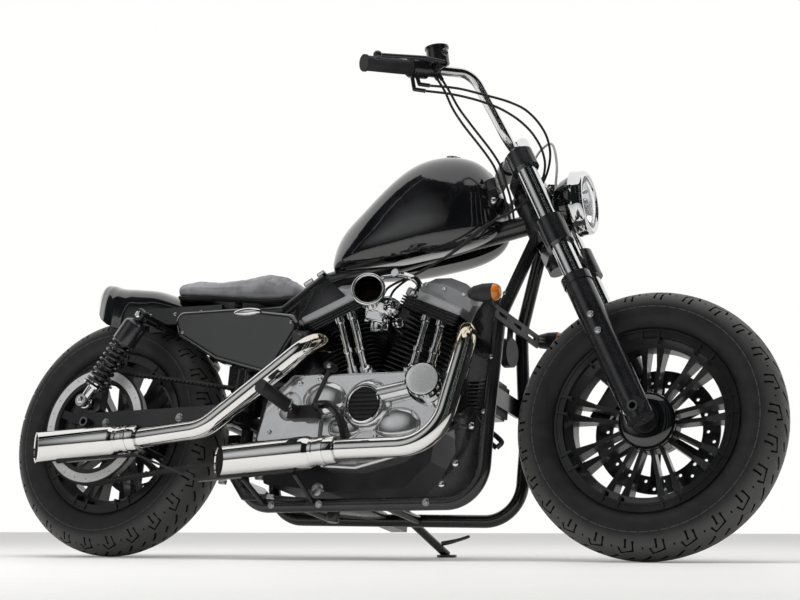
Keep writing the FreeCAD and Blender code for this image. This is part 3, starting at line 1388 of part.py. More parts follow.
# Half sections as shares of half width and height, from the crown down the right side to the floor
TANK_SECTION_SHARES = [
    (0, 1.0), (0.40, 0.96), (0.70, 0.83), (0.90, 0.62), (1.0, 0.36), (0.97, 0.13), (0.78, 0.0), (0, 0.0)
]


def fuel_tank():
    """The tank, with a tunnel in its floor for the backbone."""
    sections = []
    for along, floor, crown, half in TANK_SHARES:
        x = TANK_REAR.x + TANK_L * along
        bottom = TANK_REAR.z + TANK_H * floor
        top = TANK_REAR.z + TANK_H * crown
        sections.append(spline_section(x, bottom, top, TANK_HALF_W * half, TANK_SECTION_SHARES))
    body = Part.makeLoft(sections, True, False)
    radius = BACKBONE_R + SEAT_GAP
    start = fork_point((NECK_FROM + NECK_TO) / 2)
    tunnel = bar(start, BACKBONE_END, radius)
    below = slab(
        [
            (start.x, start.z),
            (start.x, start.z - TANK_H),
            (BACKBONE_END.x, BACKBONE_END.z - TANK_H),
            (BACKBONE_END.x, BACKBONE_END.z),
        ],
        -radius,
        radius,
    )
    return body.cut([tunnel, below])


# Fender outline as shares of its length and height, along the crown from the front to the tail
FENDER_CROWN_SHARES = [
    (1.0, 0.24), (0.85, 0.42), (0.70, 0.58), (0.46, 0.81), (0.20, 0.90), (0.08, 0.975), (0.02, 1.0),
]
FENDER_EDGE_SHARES = [(0.0, 0.80), (0.05, 0.46), (0.19, 0.11), (0.42, 0.0), (1.0, 0.0)]


def fender_form(half, shrink):
    """The fender's outer or inner form: crown curve, tail edge and straight skirts."""
    crown = [
        V(FENDER_TAIL_X + FENDER_L * x, -half, FENDER_LOW_Z + FENDER_H * z - shrink)
        for x, z in FENDER_CROWN_SHARES
    ]
    edge = [
        V(FENDER_TAIL_X + FENDER_L * x, -half, FENDER_LOW_Z + FENDER_H * z) for x, z in FENDER_EDGE_SHARES
    ]
    if shrink > 0:
        crown[-1] = crown[-1] - X_DIR * FENDER_H
        crown[0] = crown[0] + X_DIR * shrink
        edge = [crown[-1] - Z_DIR * (FENDER_H * 2), V(crown[0].x, -half, FENDER_LOW_Z - FENDER_H)]
    curve = Part.BSplineCurve()
    curve.interpolate(crown)
    edges = [curve.toShape()]
    corners = [crown[-1]] + edge + [crown[0]]
    for a, b in zip(corners, corners[1:]):
        edges.append(Part.LineSegment(a, b).toShape())
    solid = Part.Face(Part.Wire(edges)).extrude(V(0, half * 2, 0))
    long_edges = [item for item in solid.Edges if isinstance(item.Curve, Part.BSplineCurve)]
    return solid.makeFillet(FENDER_ROUND - shrink, long_edges)


def rear_fender():
    """The short rear fender with its upswept tail, a shell open below and behind."""
    outer = fender_form(FENDER_HALF_W, 0)
    inner = fender_form(FENDER_HALF_W - FENDER_T, FENDER_T)
    return outer.cut(inner)


# Seat stations: shares of length, of height for underside and top, and of half width
SEAT_SHARES = [
    (0.0, 0.42, 0.60, 0.46),
    (0.05, 0.32, 0.84, 0.80),
    (0.19, 0.20, 0.80, 0.98),
    (0.38, 0.10, 0.72, 1.0),
    (0.58, 0.02, 0.80, 0.92),
    (0.75, 0.0, 0.98, 0.75),
    (0.89, 0.08, 0.92, 0.58),
    (0.97, 0.20, 0.70, 0.40),
    (1.0, 0.26, 0.50, 0.28),
]
CUSHION_SHARES = [(0, 1.0), (0.55, 0.97), (0.86, 0.80), (1.0, 0.45), (0.96, 0.12), (0.90, 0), (0, 0)]
PAN_SHARES = [(0, 1.0), (0.90, 1.0), (0.97, 0.5), (0.90, 0), (0, 0)]


def seat_cushion():
    """The thin solo cushion."""
    sections = []
    for along, low, high, half in SEAT_SHARES:
        x = SEAT_REAR.x + SEAT_L * along
        bottom = SEAT_REAR.z + SEAT_H * low
        top = SEAT_REAR.z + SEAT_H * high
        sections.append(flat_section(x, bottom, top, SEAT_HALF_W * half, CUSHION_SHARES))
    return Part.makeLoft(sections, True, True)


def seat_pan():
    """The pan under the cushion, on two bumpers that rest on the seat rails."""
    sections = []
    for along, low, high, half in SEAT_SHARES:
        x = SEAT_REAR.x + SEAT_L * along
        top = SEAT_REAR.z + SEAT_H * low - SEAT_GAP
        sections.append(flat_section(x, top - PAN_T, top, SEAT_HALF_W * half, PAN_SHARES))
    pieces = [Part.makeLoft(sections, True, True)]
    for side in (-1, 1):
        foot = V(BUMPER_X, side * BUMPER_Y, SEAT_RAIL_Z + TUBE_R + SEAT_GAP)
        head = V(BUMPER_X, side * BUMPER_Y, SEAT_REAR.z)
        pieces.append(bar(foot, head, BUMPER_R))
    return fuse(pieces).cut(fender_form(FENDER_HALF_W + SEAT_GAP, -SEAT_GAP))


# Side cover outline as shares of its length and height
COVER_SHARES = [(0.0, 1.0), (0.49, 1.0), (0.93, 0.86), (1.0, 0.68), (0.81, 0.0), (0.39, 0.25), (0.07, 0.63)]


def side_cover(side):
    """A side cover under the seat: the oil tank on the right, the battery cover on the left."""
    outline = [(COVER_REAR_X + COVER_L * x, COVER_LOW_Z + COVER_H * z) for x, z in COVER_SHARES]
    low, high = sorted((side * COVER_Y, side * (COVER_Y + COVER_T)))
    return eased(rounded_slab(outline, low, high, COVER_CORNER), side * (COVER_Y + COVER_T), COVER_ROUND)


def foot_control(side, face):
    """A footpeg, its bracket and the pedal ahead of it, on one side's cover face."""
    near, far = sorted((side * face, side * (face + PEG_R)))
    base = block(
        V(PEG_X - LUG_HALF, near, PEG_Z - LUG_HALF),
        V(PEDAL_X + LUG_HALF / 2, far, PEG_Z + LUG_HALF / 2),
    )
    root = V(PEG_X, side * PEG_ROOT, PEG_Z)
    tip = root + V(-PEG_SWEEP, side * PEG_L, PEG_RISE)
    arm = bar(V(PEG_X, side * (face + PEG_R / 2), PEG_Z), root, PEG_R * CROSS_SHARE)
    rubber = bar(root, tip, PEG_R)
    pivot = V(PEDAL_X, side * (face + PEG_R / 2), PEG_Z)
    knee = V(PEDAL_X + PEDAL_REACH / 2, side * PEDAL_Y, PEG_Z)
    pad = V(PEDAL_X + PEDAL_REACH, side * (PEDAL_Y + PEG_R), PEG_Z + PEDAL_RISE)
    lever = [bar(pivot, knee, LEVER_R), bar(knee, pad, LEVER_R), Part.makeSphere(LEVER_R, knee)]
    pad_bar = bar(pad - Y_DIR * PEG_R, pad + Y_DIR * PEG_R, PEG_R * ARM_SHARE)
    return fuse([base, arm, rubber, pad_bar] + lever)


def belt_outline(rear_r, front_r):
    """A closed loop round both pulleys."""
    rear = V(0, 0, REAR_HUB.z)
    front = V(DRIVE_X, 0, DRIVE_Z)
    span = front - rear
    lean = math.atan2(span.z, span.x)
    open_angle = math.acos((rear_r - front_r) / span.Length)

    def at(centre, radius, angle):
        return centre + V(math.cos(angle), 0, math.sin(angle)) * radius

    upper = lean + open_angle
    lower = lean - open_angle
    edges = [
        Part.LineSegment(at(rear, rear_r, upper), at(front, front_r, upper)).toShape(),
        Part.Arc(at(front, front_r, upper), at(front, front_r, lean), at(front, front_r, lower)).toShape(),
        Part.LineSegment(at(front, front_r, lower), at(rear, rear_r, lower)).toShape(),
        Part.Arc(at(rear, rear_r, lower), at(rear, rear_r, lean + math.pi), at(rear, rear_r, upper)).toShape(),
    ]
    return Part.Face(Part.Wire(edges))


def tooth_comb(start, end, inward):
    """The teeth along one straight run of the belt, as one plate between its two ends."""
    along = (end - start).normalize()
    count = int(((end - start).Length - TOOTH_W) / TOOTH_PITCH)
    root = inward * (-BELT_T / 4)
    tip = inward * TOOTH_H
    wave = []
    for i in range(count + 1):
        near = start + along * (i * TOOTH_PITCH)
        far = near + along * TOOTH_W
        wave += [near + root, near + tip, far + tip, far + root]
    points = wave + [wave[-1] + root, wave[0] + root]
    face = Part.Face(Part.makePolygon(points + points[:1]))
    comb = face.extrude(V(0, BELT_W, 0))
    comb.translate(V(0, -PULLEY_Y - BELT_W / 2, 0))
    return comb


def belt_teeth():
    """The teeth inside both straight runs of the belt."""
    combs = []
    loop = belt_outline(PULLEY_R + PIN_GAP, DRIVE_PULLEY_R + SEAT_GAP)
    middle = loop.CenterOfMass
    for edge in loop.Edges:
        if isinstance(edge.Curve, Part.Line):
            ends = sorted((edge.Vertexes[0].Point, edge.Vertexes[1].Point), key=lambda point: point.x)
            along = (ends[1] - ends[0]).normalize()
            inward = along.cross(Y_DIR)
            if inward.dot(middle - ends[0]) < 0:
                inward = inward * -1
            start = ends[0] + along * TOOTH_START_REAR
            end = ends[1] - along * TOOTH_START_FRONT
            combs.append(tooth_comb(start, end, inward))
    return combs


def drive_belt():
    """The drive belt as a closed loop, toothed inside."""
    outer = belt_outline(PULLEY_R + PIN_GAP + BELT_T, DRIVE_PULLEY_R + SEAT_GAP + BELT_T)
    inner = belt_outline(PULLEY_R + PIN_GAP, DRIVE_PULLEY_R + SEAT_GAP)
    loop = outer.cut(inner).extrude(V(0, BELT_W, 0))
    loop.translate(V(0, -PULLEY_Y - BELT_W / 2, 0))
    return fuse([loop.Solids[0]] + belt_teeth())


def rear_pulley():
    """The belt pulley on the right of the rear wheel, with a flange outside the belt."""
    plate = ring_plate(
        REAR_HUB, -PULLEY_Y, PULLEY_R, PULLEY_R - PULLEY_RING_W, PULLEY_HUB_R, PULLEY_ARMS, DISC_ARM_W, BELT_W
    )
    flange_y = -PULLEY_Y - BELT_W / 2 - PIN_GAP - FLANGE_T / 2
    flange = disc(REAR_HUB + Y_DIR * flange_y, Y_DIR, PULLEY_R + PULLEY_FLANGE, FLANGE_T)
    flange = flange.cut(disc(REAR_HUB + Y_DIR * flange_y, Y_DIR, PULLEY_R - PULLEY_RING_W, FLANGE_T * 2))
    hole_radius = PULLEY_R - PULLEY_RING_W * (1 - PULLEY_HOLE_SHARE)
    flange = flange.cut(hole_ring(REAR_HUB, flange_y, hole_radius, PULLEY_HOLE_R, PULLEY_HOLES, FLANGE_T * 2, 0))
    bridge = disc(REAR_HUB + Y_DIR * (flange_y + FLANGE_T), Y_DIR, PULLEY_R, FLANGE_T)
    bridge = bridge.cut(disc(REAR_HUB + Y_DIR * flange_y, Y_DIR, PULLEY_R - PULLEY_RING_W, BELT_W))
    return fuse([plate, flange, bridge])


def air_horn():
    """The carburettor between the cylinders and its flared intake horn."""
    runner = bar(V(CRANK_X, 0, CARB_Z), V(CRANK_X + CARB_SHIFT, -HEAD_HALF_W - CARB_T, CARB_Z), CARB_NECK_R)
    body = block(
        V(CRANK_X + CARB_SHIFT - CARB_W / 2, -HEAD_HALF_W - MOVING_GAP - CARB_T, CARB_Z - CARB_W / 2),
        V(CRANK_X + CARB_SHIFT + CARB_W / 2, -HEAD_HALF_W - MOVING_GAP, CARB_Z + CARB_W / 2),
    )
    facing = V(*HORN_FACING_SHARES).normalize()
    profile = [(r * HORN_R, a * HORN_L) for r, a in HORN_SHARES]
    points = [V(radius, 0, along) for radius, along in profile]
    horn = Part.Face(Part.makePolygon(points + points[:1])).revolve(ORIGIN, Z_DIR, 360)
    horn.Placement = FreeCAD.Placement(HORN_MOUTH - facing * HORN_L, FreeCAD.Rotation(Z_DIR, facing))
    return fuse([runner, body, horn])


# The horn's wall as shares of its mouth radius and length: outside from the root, lip, then inside
HORN_FACING_SHARES = (0.35, -0.93, 0.05)
HORN_SHARES = [
    (0, -0.3), (0.62, -0.3), (0.62, 0.3), (0.78, 0.66), (1.0, 0.92),
    (1.0, 1.0), (0.90, 1.0), (0.68, 0.68), (0.52, 0.3), (0, 0.3),
]


def front_electrics():
    """The regulator behind the downtubes, the horn between them, and the signals on their bar."""
    knee_x = DOWNTUBE_KNEE.x
    seat_x = knee_x - TUBE_R + MOUNT_PLATE_SET - MOUNT_PLATE_T - SEAT_GAP
    regulator = block(
        V(seat_x - REGULATOR_T, -REGULATOR_W / 2, REGULATOR_Z - REGULATOR_H / 2),
        V(seat_x, REGULATOR_W / 2, REGULATOR_Z + REGULATOR_H / 2),
    )
    slots = []
    pitch = REGULATOR_H / REGULATOR_FINS
    for i in range(REGULATOR_FINS):
        z = REGULATOR_Z - REGULATOR_H / 2 + pitch * i
        slots.append(
            block(
                V(seat_x - REGULATOR_T - OVERRUN, -REGULATOR_W, z),
                V(seat_x - REGULATOR_T / 2, REGULATOR_W, z + pitch / 2),
            )
        )
    regulator = regulator.cut(slots)
    cross_z = DOWNTUBE_KNEE.z
    cross_r = TUBE_R * CROSS_SHARE
    horn_top = V(knee_x, 0, cross_z - cross_r - SEAT_GAP)
    horn_centre = V(knee_x, 0, cross_z - HORN_DISC_R * 2)
    strap = block(
        V(knee_x - FLANGE_T, -LUG_HALF / 2, horn_centre.z),
        V(knee_x + FLANGE_T, LUG_HALF / 2, horn_top.z),
    )
    horn = fuse([disc(horn_centre, X_DIR, HORN_DISC_R, HORN_DISC_T), strap])
    plate = block(
        V(knee_x + TUBE_R - FLANGE_T, -SIGNAL_PLATE_HALF, cross_z - LUG_HALF),
        V(knee_x + TUBE_R + FLANGE_T, SIGNAL_PLATE_HALF, cross_z + LUG_HALF / 2),
    )
    pitch_y = SIGNAL_PLATE_HALF * 2 / SIGNAL_SLOTS
    for i in range(SIGNAL_SLOTS):
        y = -SIGNAL_PLATE_HALF + pitch_y * (i + SIGNAL_SLOT_SHARE)
        reach = pitch_y * SIGNAL_SLOT_SHARE / 2
        slot_z = cross_z - SIGNAL_SLOT_H
        slot_low = V(knee_x, y - reach, slot_z)
        plate = plate.cut(block(slot_low, slot_low + V(LUG_HALF * 2, reach * 2, SIGNAL_SLOT_H)))
    pieces = [plate]
    for side in (-1, 1):
        root = V(knee_x + TUBE_R, side * (SIGNAL_PLATE_HALF - FLANGE_T), cross_z)
        centre = V(knee_x + TUBE_R, side * SIGNAL_Y, SIGNAL_Z)
        pieces.append(bar(root, centre, LEVER_R))
        points = [V(a * SIGNAL_L, 0, r * SIGNAL_R) for a, r in SIGNAL_SHARES]
        bullet = Part.Face(Part.makePolygon(points + points[:1])).revolve(ORIGIN, X_DIR, 360)
        bullet.translate(centre)
        pieces.append(bullet)
    bar_shape = fuse(pieces)
    for side in (-1, 1):
        bar_shape = bar_shape.cut(downtube(side, TUBE_R + SEAT_GAP))
    return Part.makeCompound([regulator, horn, bar_shape])


# A signal's body as shares of its length and radius, from its tail to the lens
SIGNAL_SHARES = [(-0.5, 0), (-0.44, 0.42), (-0.28, 0.80), (0.0, 1.0), (0.30, 1.0), (0.44, 0.72), (0.5, 0)]


def turn_placement():
    """The front end turned about the steering axis."""
    return FreeCAD.Placement(ORIGIN, FreeCAD.Rotation(STEER_UP, STEER_REST), STEER_BASE)


def moved(shape, placement):
    """A copy of a shape under a placement."""
    copy = shape.copy()
    copy.Placement = placement.multiply(copy.Placement)
    return copy


def stand_placement(front_tyre, rear_tyre):
    """The machine leaned until both tyres stand on the ground."""
    lean = FreeCAD.Placement(ORIGIN, FreeCAD.Rotation(X_DIR, -LEAN))
    front_low = moved(front_tyre, lean.multiply(turn_placement())).optimalBoundingBox(False).ZMin
    rear_low = moved(rear_tyre, lean).optimalBoundingBox(False).ZMin
    pitch = math.degrees(math.atan2(front_low - rear_low, WHEELBASE))
    down = FreeCAD.Placement(V(0, 0, -rear_low), FreeCAD.Rotation(Y_DIR, pitch))
    return down.multiply(lean)


def side_stand(lean):
    """The side stand's leg and level foot pad, drawn where the leaned machine puts it down."""
    pivot = lean.multVec(STAND_PIVOT)
    foot = V(STAND_FOOT.x, STAND_FOOT_OUT, STAND_PAD_T)
    axis = stand_axis(lean)
    leg = bar(pivot, foot, STAND_LEG_R)
    boss = disc(pivot, axis, STAND_LEG_R * 2, STAND_LEG_R * 2)
    pad = Part.makeCylinder(STAND_PAD_R, STAND_PAD_T, V(foot.x, foot.y, 0))
    corner = V(STAND_PAD_R * 2, STAND_PAD_R * 2, STAND_PAD_T)
    floor = block(foot - corner - Z_DIR * OVERRUN, foot + corner - Z_DIR * (STAND_PAD_T * 2))
    bore = disc(pivot, axis, STAND_PIN_R + PIN_GAP, STAND_PIN_L * 2)
    return fuse([leg, boss, pad]).cut([floor, bore])


def stand_axis(lean):
    """The stand's hinge axis: square to its leg and to the machine's length."""
    pivot = lean.multVec(STAND_PIVOT)
    foot = V(STAND_FOOT.x, STAND_FOOT_OUT, STAND_PAD_T)
    length_dir = lean.Rotation.multVec(X_DIR)
    return (foot - pivot).cross(length_dir * -1).normalize()


def model():
    """Every piece by body, as drawn, and the placement that leans the machine."""
    front_tyre = tyre(FRONT_HUB, FRONT_TYRE_R, FRONT_TYRE_W)
    rear_tyre = tyre(REAR_HUB, REAR_TYRE_R, REAR_TYRE_W)
    lean = stand_placement(front_tyre, rear_tyre)
    front_end = {
        "fork_clamps": fork_clamps(),
        "fork_tubes": Part.makeCompound([fork_tube(-1), fork_tube(1)]),
        "fork_sliders": Part.makeCompound([slider(-1), slider(1)]),
        "front_axle": front_axle(),
        "front_caliper": front_caliper(),
        "handlebar": handlebar(),
        "hand_grips": Part.makeCompound([grip(), across(grip())]),
        "hand_controls": Part.makeCompound([hand_control(False), across(hand_control(True))]),
        "control_cables": control_cables(),
        "headlight_shell": headlight_shell(),
        "headlight_lens": headlight_lens(),
    }
    front_wheel = {
        "front_tyre": front_tyre,
        "front_wheel": wheel(FRONT_HUB, FRONT_TYRE_W, HUB_HALF_W, HUB_HALF_W + DISC_T),
        "front_brake_disc": brake_disc(FRONT_HUB, DISC_Y, FRONT_DISC_R),
    }
    rear_wheel = {
        "rear_tyre": rear_tyre,
        "rear_wheel": wheel(REAR_HUB, REAR_TYRE_W, PULLEY_Y + BELT_W / 2, REAR_DISC_Y + DISC_T),
        "rear_brake_disc": brake_disc(REAR_HUB, REAR_DISC_Y, REAR_DISC_R),
        "rear_pulley": rear_pulley(),
    }
    frame = {
        "frame_neck": frame_neck(),
        "frame_downtubes": frame_downtubes(),
        "frame_lower_rails": lower_rails(lean),
        "frame_rear": frame_rear(),
        "swingarm": swingarm(),
        "rear_shocks": Part.makeCompound([shock(-1), shock(1)]),
        "rear_axle": rear_axle(),
        "rear_caliper": rear_caliper(),
        "rear_fender": rear_fender(),
        "seat_cushion": seat_cushion(),
        "seat_pan": seat_pan(),
        "fuel_tank": fuel_tank(),
        "side_covers": Part.makeCompound([side_cover(-1), side_cover(1)]),
        "crankcase": crankcase(),
        "gearcase_cover": gearcase_cover(),
        "timer_cover": timer_cover(),
        "primary_cover": primary_cover(),
        "cylinders": Part.makeCompound([cylinder(-1), cylinder(1)]),
        "rocker_boxes": Part.makeCompound([rocker_box(-1), rocker_box(1)]),
        "pushrod_tubes": Part.makeCompound([pushrod_tube(*item) for item in PUSHRODS]),
        "oil_filter": oil_filter(),
        "air_horn": air_horn(),
        "exhaust_headers": Part.makeCompound(
            [
                header(-1, REAR_HEADER, REAR_BENDS, MUFFLER_UPPER[1]),
                header(1, FRONT_HEADER, FRONT_BENDS, MUFFLER_LOWER[1]),
            ]
        ),
        "mufflers": Part.makeCompound([muffler(*MUFFLER_UPPER), muffler(*MUFFLER_LOWER)]),
        "foot_controls": Part.makeCompound([foot_control(-1, RIGHT_FACE), foot_control(1, LEFT_FACE)]),
        "drive_belt": drive_belt(),
        "front_electrics": front_electrics(),
    }
    bodies = {"frame": frame, "steering": front_end, "front_wheel": front_wheel, "rear_wheel": rear_wheel}
    return bodies, lean


def front_caliper():
    """The front caliper, behind the left slider."""
    centre = fork_point(LUG_ALONG, FORK_OFFSET - LUG_REACH)
    return caliper(centre, FRONT_HUB, DISC_Y, CALIPER_T, FRONT_DISC_R)


def rear_caliper():
    """The rear caliper, over the left arm of the swingarm."""
    centre = REAR_HUB + V(REAR_CALIPER_SHARE, 0, REAR_CALIPER_SHARE) * REAR_DISC_R
    return caliper(centre, REAR_HUB, REAR_DISC_Y, REAR_CALIPER_T, REAR_DISC_R)


def place_all(bodies, lean):
    """Turn the front end, lean the machine, add its stand and centre it at the origin."""
    front = lean.multiply(turn_placement())
    placed = {}
    for body, nodes in bodies.items():
        placement = front if body in ("steering", "front_wheel") else lean
        placed[body] = {name: moved(shape, placement) for name, shape in nodes.items()}
    placed["side_stand"] = {"side_stand": side_stand(lean)}
    every = [shape for nodes in placed.values() for shape in nodes.values()]
    size = Part.makeCompound(every).optimalBoundingBox(False)
    centre = V(-(size.XMin + size.XMax) / 2, -(size.YMin + size.YMax) / 2, -size.ZMin)
    shift = FreeCAD.Placement(centre, FreeCAD.Rotation())
    final = {}
    for body, nodes in placed.items():
        final[body] = {name: moved(shape, shift) for name, shape in nodes.items()}
    return final, shift.multiply(lean), shift.multiply(front), shift


BODIES, FRAME_PLACE, FRONT_PLACE, SHIFT = place_all(*model())

os.makedirs("parts", exist_ok=True)
for nodes in BODIES.values():
    for node, shape in nodes.items():
        shape.exportStep(f"parts/{node}.step")
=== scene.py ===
# %% [markdown]
# # A chopper motorcycle, dressed around its CAD frame
# The engineering model gives every rigid form of the machine: frame, engine, wheels, tank.
# This lesson adds what a CAD program is slow at: tread cut into tyres, a padded seat, cables,
# springs, bolts and all the surface finishes. Lengths are in metres. X points forward, Y to the
# rider's left and Z up, and the machine leans on its side stand as in the photograph.

# %% load the frame and keep its size
import math

import bpy
from mathutils import Matrix, Vector
from mathutils.bvhtree import BVHTree


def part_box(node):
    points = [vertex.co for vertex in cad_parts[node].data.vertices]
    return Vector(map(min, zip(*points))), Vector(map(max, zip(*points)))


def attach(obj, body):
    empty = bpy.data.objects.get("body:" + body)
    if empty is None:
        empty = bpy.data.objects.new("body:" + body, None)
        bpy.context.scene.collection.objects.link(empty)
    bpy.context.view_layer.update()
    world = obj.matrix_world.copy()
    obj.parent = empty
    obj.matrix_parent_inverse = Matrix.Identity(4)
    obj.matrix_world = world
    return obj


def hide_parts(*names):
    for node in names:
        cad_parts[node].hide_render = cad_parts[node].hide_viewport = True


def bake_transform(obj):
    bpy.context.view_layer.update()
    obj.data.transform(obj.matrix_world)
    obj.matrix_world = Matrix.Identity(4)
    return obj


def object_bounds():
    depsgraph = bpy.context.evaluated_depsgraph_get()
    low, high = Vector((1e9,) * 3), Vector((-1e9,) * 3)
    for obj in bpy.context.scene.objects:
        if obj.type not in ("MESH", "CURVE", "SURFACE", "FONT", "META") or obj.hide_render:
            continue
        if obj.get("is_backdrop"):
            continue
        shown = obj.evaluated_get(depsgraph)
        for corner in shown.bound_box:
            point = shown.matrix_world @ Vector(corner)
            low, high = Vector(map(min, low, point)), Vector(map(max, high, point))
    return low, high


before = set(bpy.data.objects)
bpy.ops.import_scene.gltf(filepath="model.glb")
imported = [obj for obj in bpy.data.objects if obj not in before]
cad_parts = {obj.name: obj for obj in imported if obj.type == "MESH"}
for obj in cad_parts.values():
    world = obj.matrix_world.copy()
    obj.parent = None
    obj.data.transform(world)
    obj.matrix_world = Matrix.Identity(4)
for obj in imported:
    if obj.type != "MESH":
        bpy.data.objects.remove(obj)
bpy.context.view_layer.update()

# %% [markdown]
# ## Two working frames
# A leaning machine is awkward to model on. Each new piece is therefore drawn as if the machine
# stood upright with straight bars, and one matrix then moves its mesh to where the body really
# is. The tyres are rings, so the middle of a tyre's box is its hub, which fixes the matrices.

# %% upright machine to parked machine
LEAN = math.radians(11.2)
STEER = math.radians(4.5)
RAKE = math.radians(27.4)
FORK_OFFSET = 0.0452
REAR_HUB = Vector((0, 0, 0.323))
FRONT_HUB = Vector((1.5, 0, 0.320))
STEER_UP = Vector((-math.sin(RAKE), 0, math.cos(RAKE)))
AHEAD = Vector((math.cos(RAKE), 0, math.sin(RAKE)))
SIDEWAYS = Vector((0, 1, 0))
STEER_BASE = FRONT_HUB - AHEAD * FORK_OFFSET


def middle(node):
    """The middle of a CAD node's box."""
    low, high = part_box(node)
    return (low + high) / 2


def about(point, turn):
    """A turn about a point, as one matrix."""
    return Matrix.Translation(point) @ turn @ Matrix.Translation(-point)


def parked(pitch):
    """The upright machine's matrix for a given pitch, set on the rear hub."""
    turn = Matrix.Rotation(pitch, 4, "Y") @ Matrix.Rotation(-LEAN, 4, "X")
    return Matrix.Translation(middle("rear_tyre") - turn @ REAR_HUB) @ turn


STEER_TURN = about(STEER_BASE, Matrix.Rotation(STEER, 4, STEER_UP))
rise = middle("front_tyre").z - (parked(0) @ STEER_TURN @ FRONT_HUB).z
FRAME_AT = parked(-math.asin(rise / FRONT_HUB.x))
FRONT_AT = FRAME_AT @ STEER_TURN
AT = {"frame": FRAME_AT, "rear_wheel": FRAME_AT, "steering": FRONT_AT, "front_wheel": FRONT_AT}
AT["side_stand"] = Matrix.Identity(4)
print("front hub is off by", round((FRONT_AT @ FRONT_HUB - middle("front_tyre")).length, 6))


def fork_point(along, ahead=0.0, side=0.0):
    """A point of the front end by its place along and ahead of the steering axis."""
    return STEER_BASE + STEER_UP * along + AHEAD * ahead + SIDEWAYS * side


# %% [markdown]
# ## The camera
# The photograph was taken close to the floor with a long lens, a little from ahead. Lens, place
# and angles were solved from points whose place on the machine is known.

# %% camera
CAMERA_YAW = math.radians(27.73)
CAMERA_PITCH = math.radians(7.36)
SENSOR_MM = 36.0
FOCAL_PIXELS = 1748.9
IMAGE_WIDE = 800
stand = FRAME_AT.translation
camera = bpy.data.objects.new("camera", bpy.data.cameras.new("camera"))
bpy.context.scene.collection.objects.link(camera)
camera.data.sensor_width = SENSOR_MM
camera.data.lens = FOCAL_PIXELS / IMAGE_WIDE * SENSOR_MM
camera.location = Vector((2.8696, -3.7829, 0.0812)) + Vector((stand.x, stand.y, 0))
flat = math.cos(CAMERA_PITCH)
looking = Vector((-math.sin(CAMERA_YAW) * flat, math.cos(CAMERA_YAW) * flat, math.sin(CAMERA_PITCH)))
camera.rotation_euler = looking.to_track_quat("-Z", "Y").to_euler()
camera.data.clip_start, camera.data.clip_end = 0.01, 100.0
bpy.context.scene.camera = camera
print("lens", round(camera.data.lens, 2), "mm at", [round(x, 3) for x in camera.location])

# %% [markdown]
# ## Finishes
# Every finish is worked out from position, so that it needs no picture files. The class below
# lets a recipe be written as arithmetic: each operator adds the node that does it.


# %% shader arithmetic
class Field:
    """A number or vector that varies over a surface."""

    def __init__(self, finish, socket):
        self.finish, self.socket = finish, socket

    def _sum(self, operation, first, second):
        return self.finish.node("ShaderNodeMath", {"operation": operation}, {0: first, 1: second})

    def __add__(self, other):
        return self._sum("ADD", self, other)

    def __radd__(self, other):
        return self._sum("ADD", other, self)

    def __sub__(self, other):
        return self._sum("SUBTRACT", self, other)

    def __rsub__(self, other):
        return self._sum("SUBTRACT", other, self)

    def __mul__(self, other):
        return self._sum("MULTIPLY", self, other)

    def __rmul__(self, other):
        return self._sum("MULTIPLY", other, self)

    def step(self, low, high):
        """0 below low, 1 above high and a straight ramp between them."""
        return self.finish.node(
            "ShaderNodeMapRange", {"clamp": True}, {"Value": self, "From Min": low, "From Max": high}
        )

    def sine(self):
        return self.finish.node("ShaderNodeMath", {"operation": "SINE"}, {0: self})

    def part(self, name):
        """Another output of the same node."""
        return Field(self.finish, self.socket.node.outputs[name])


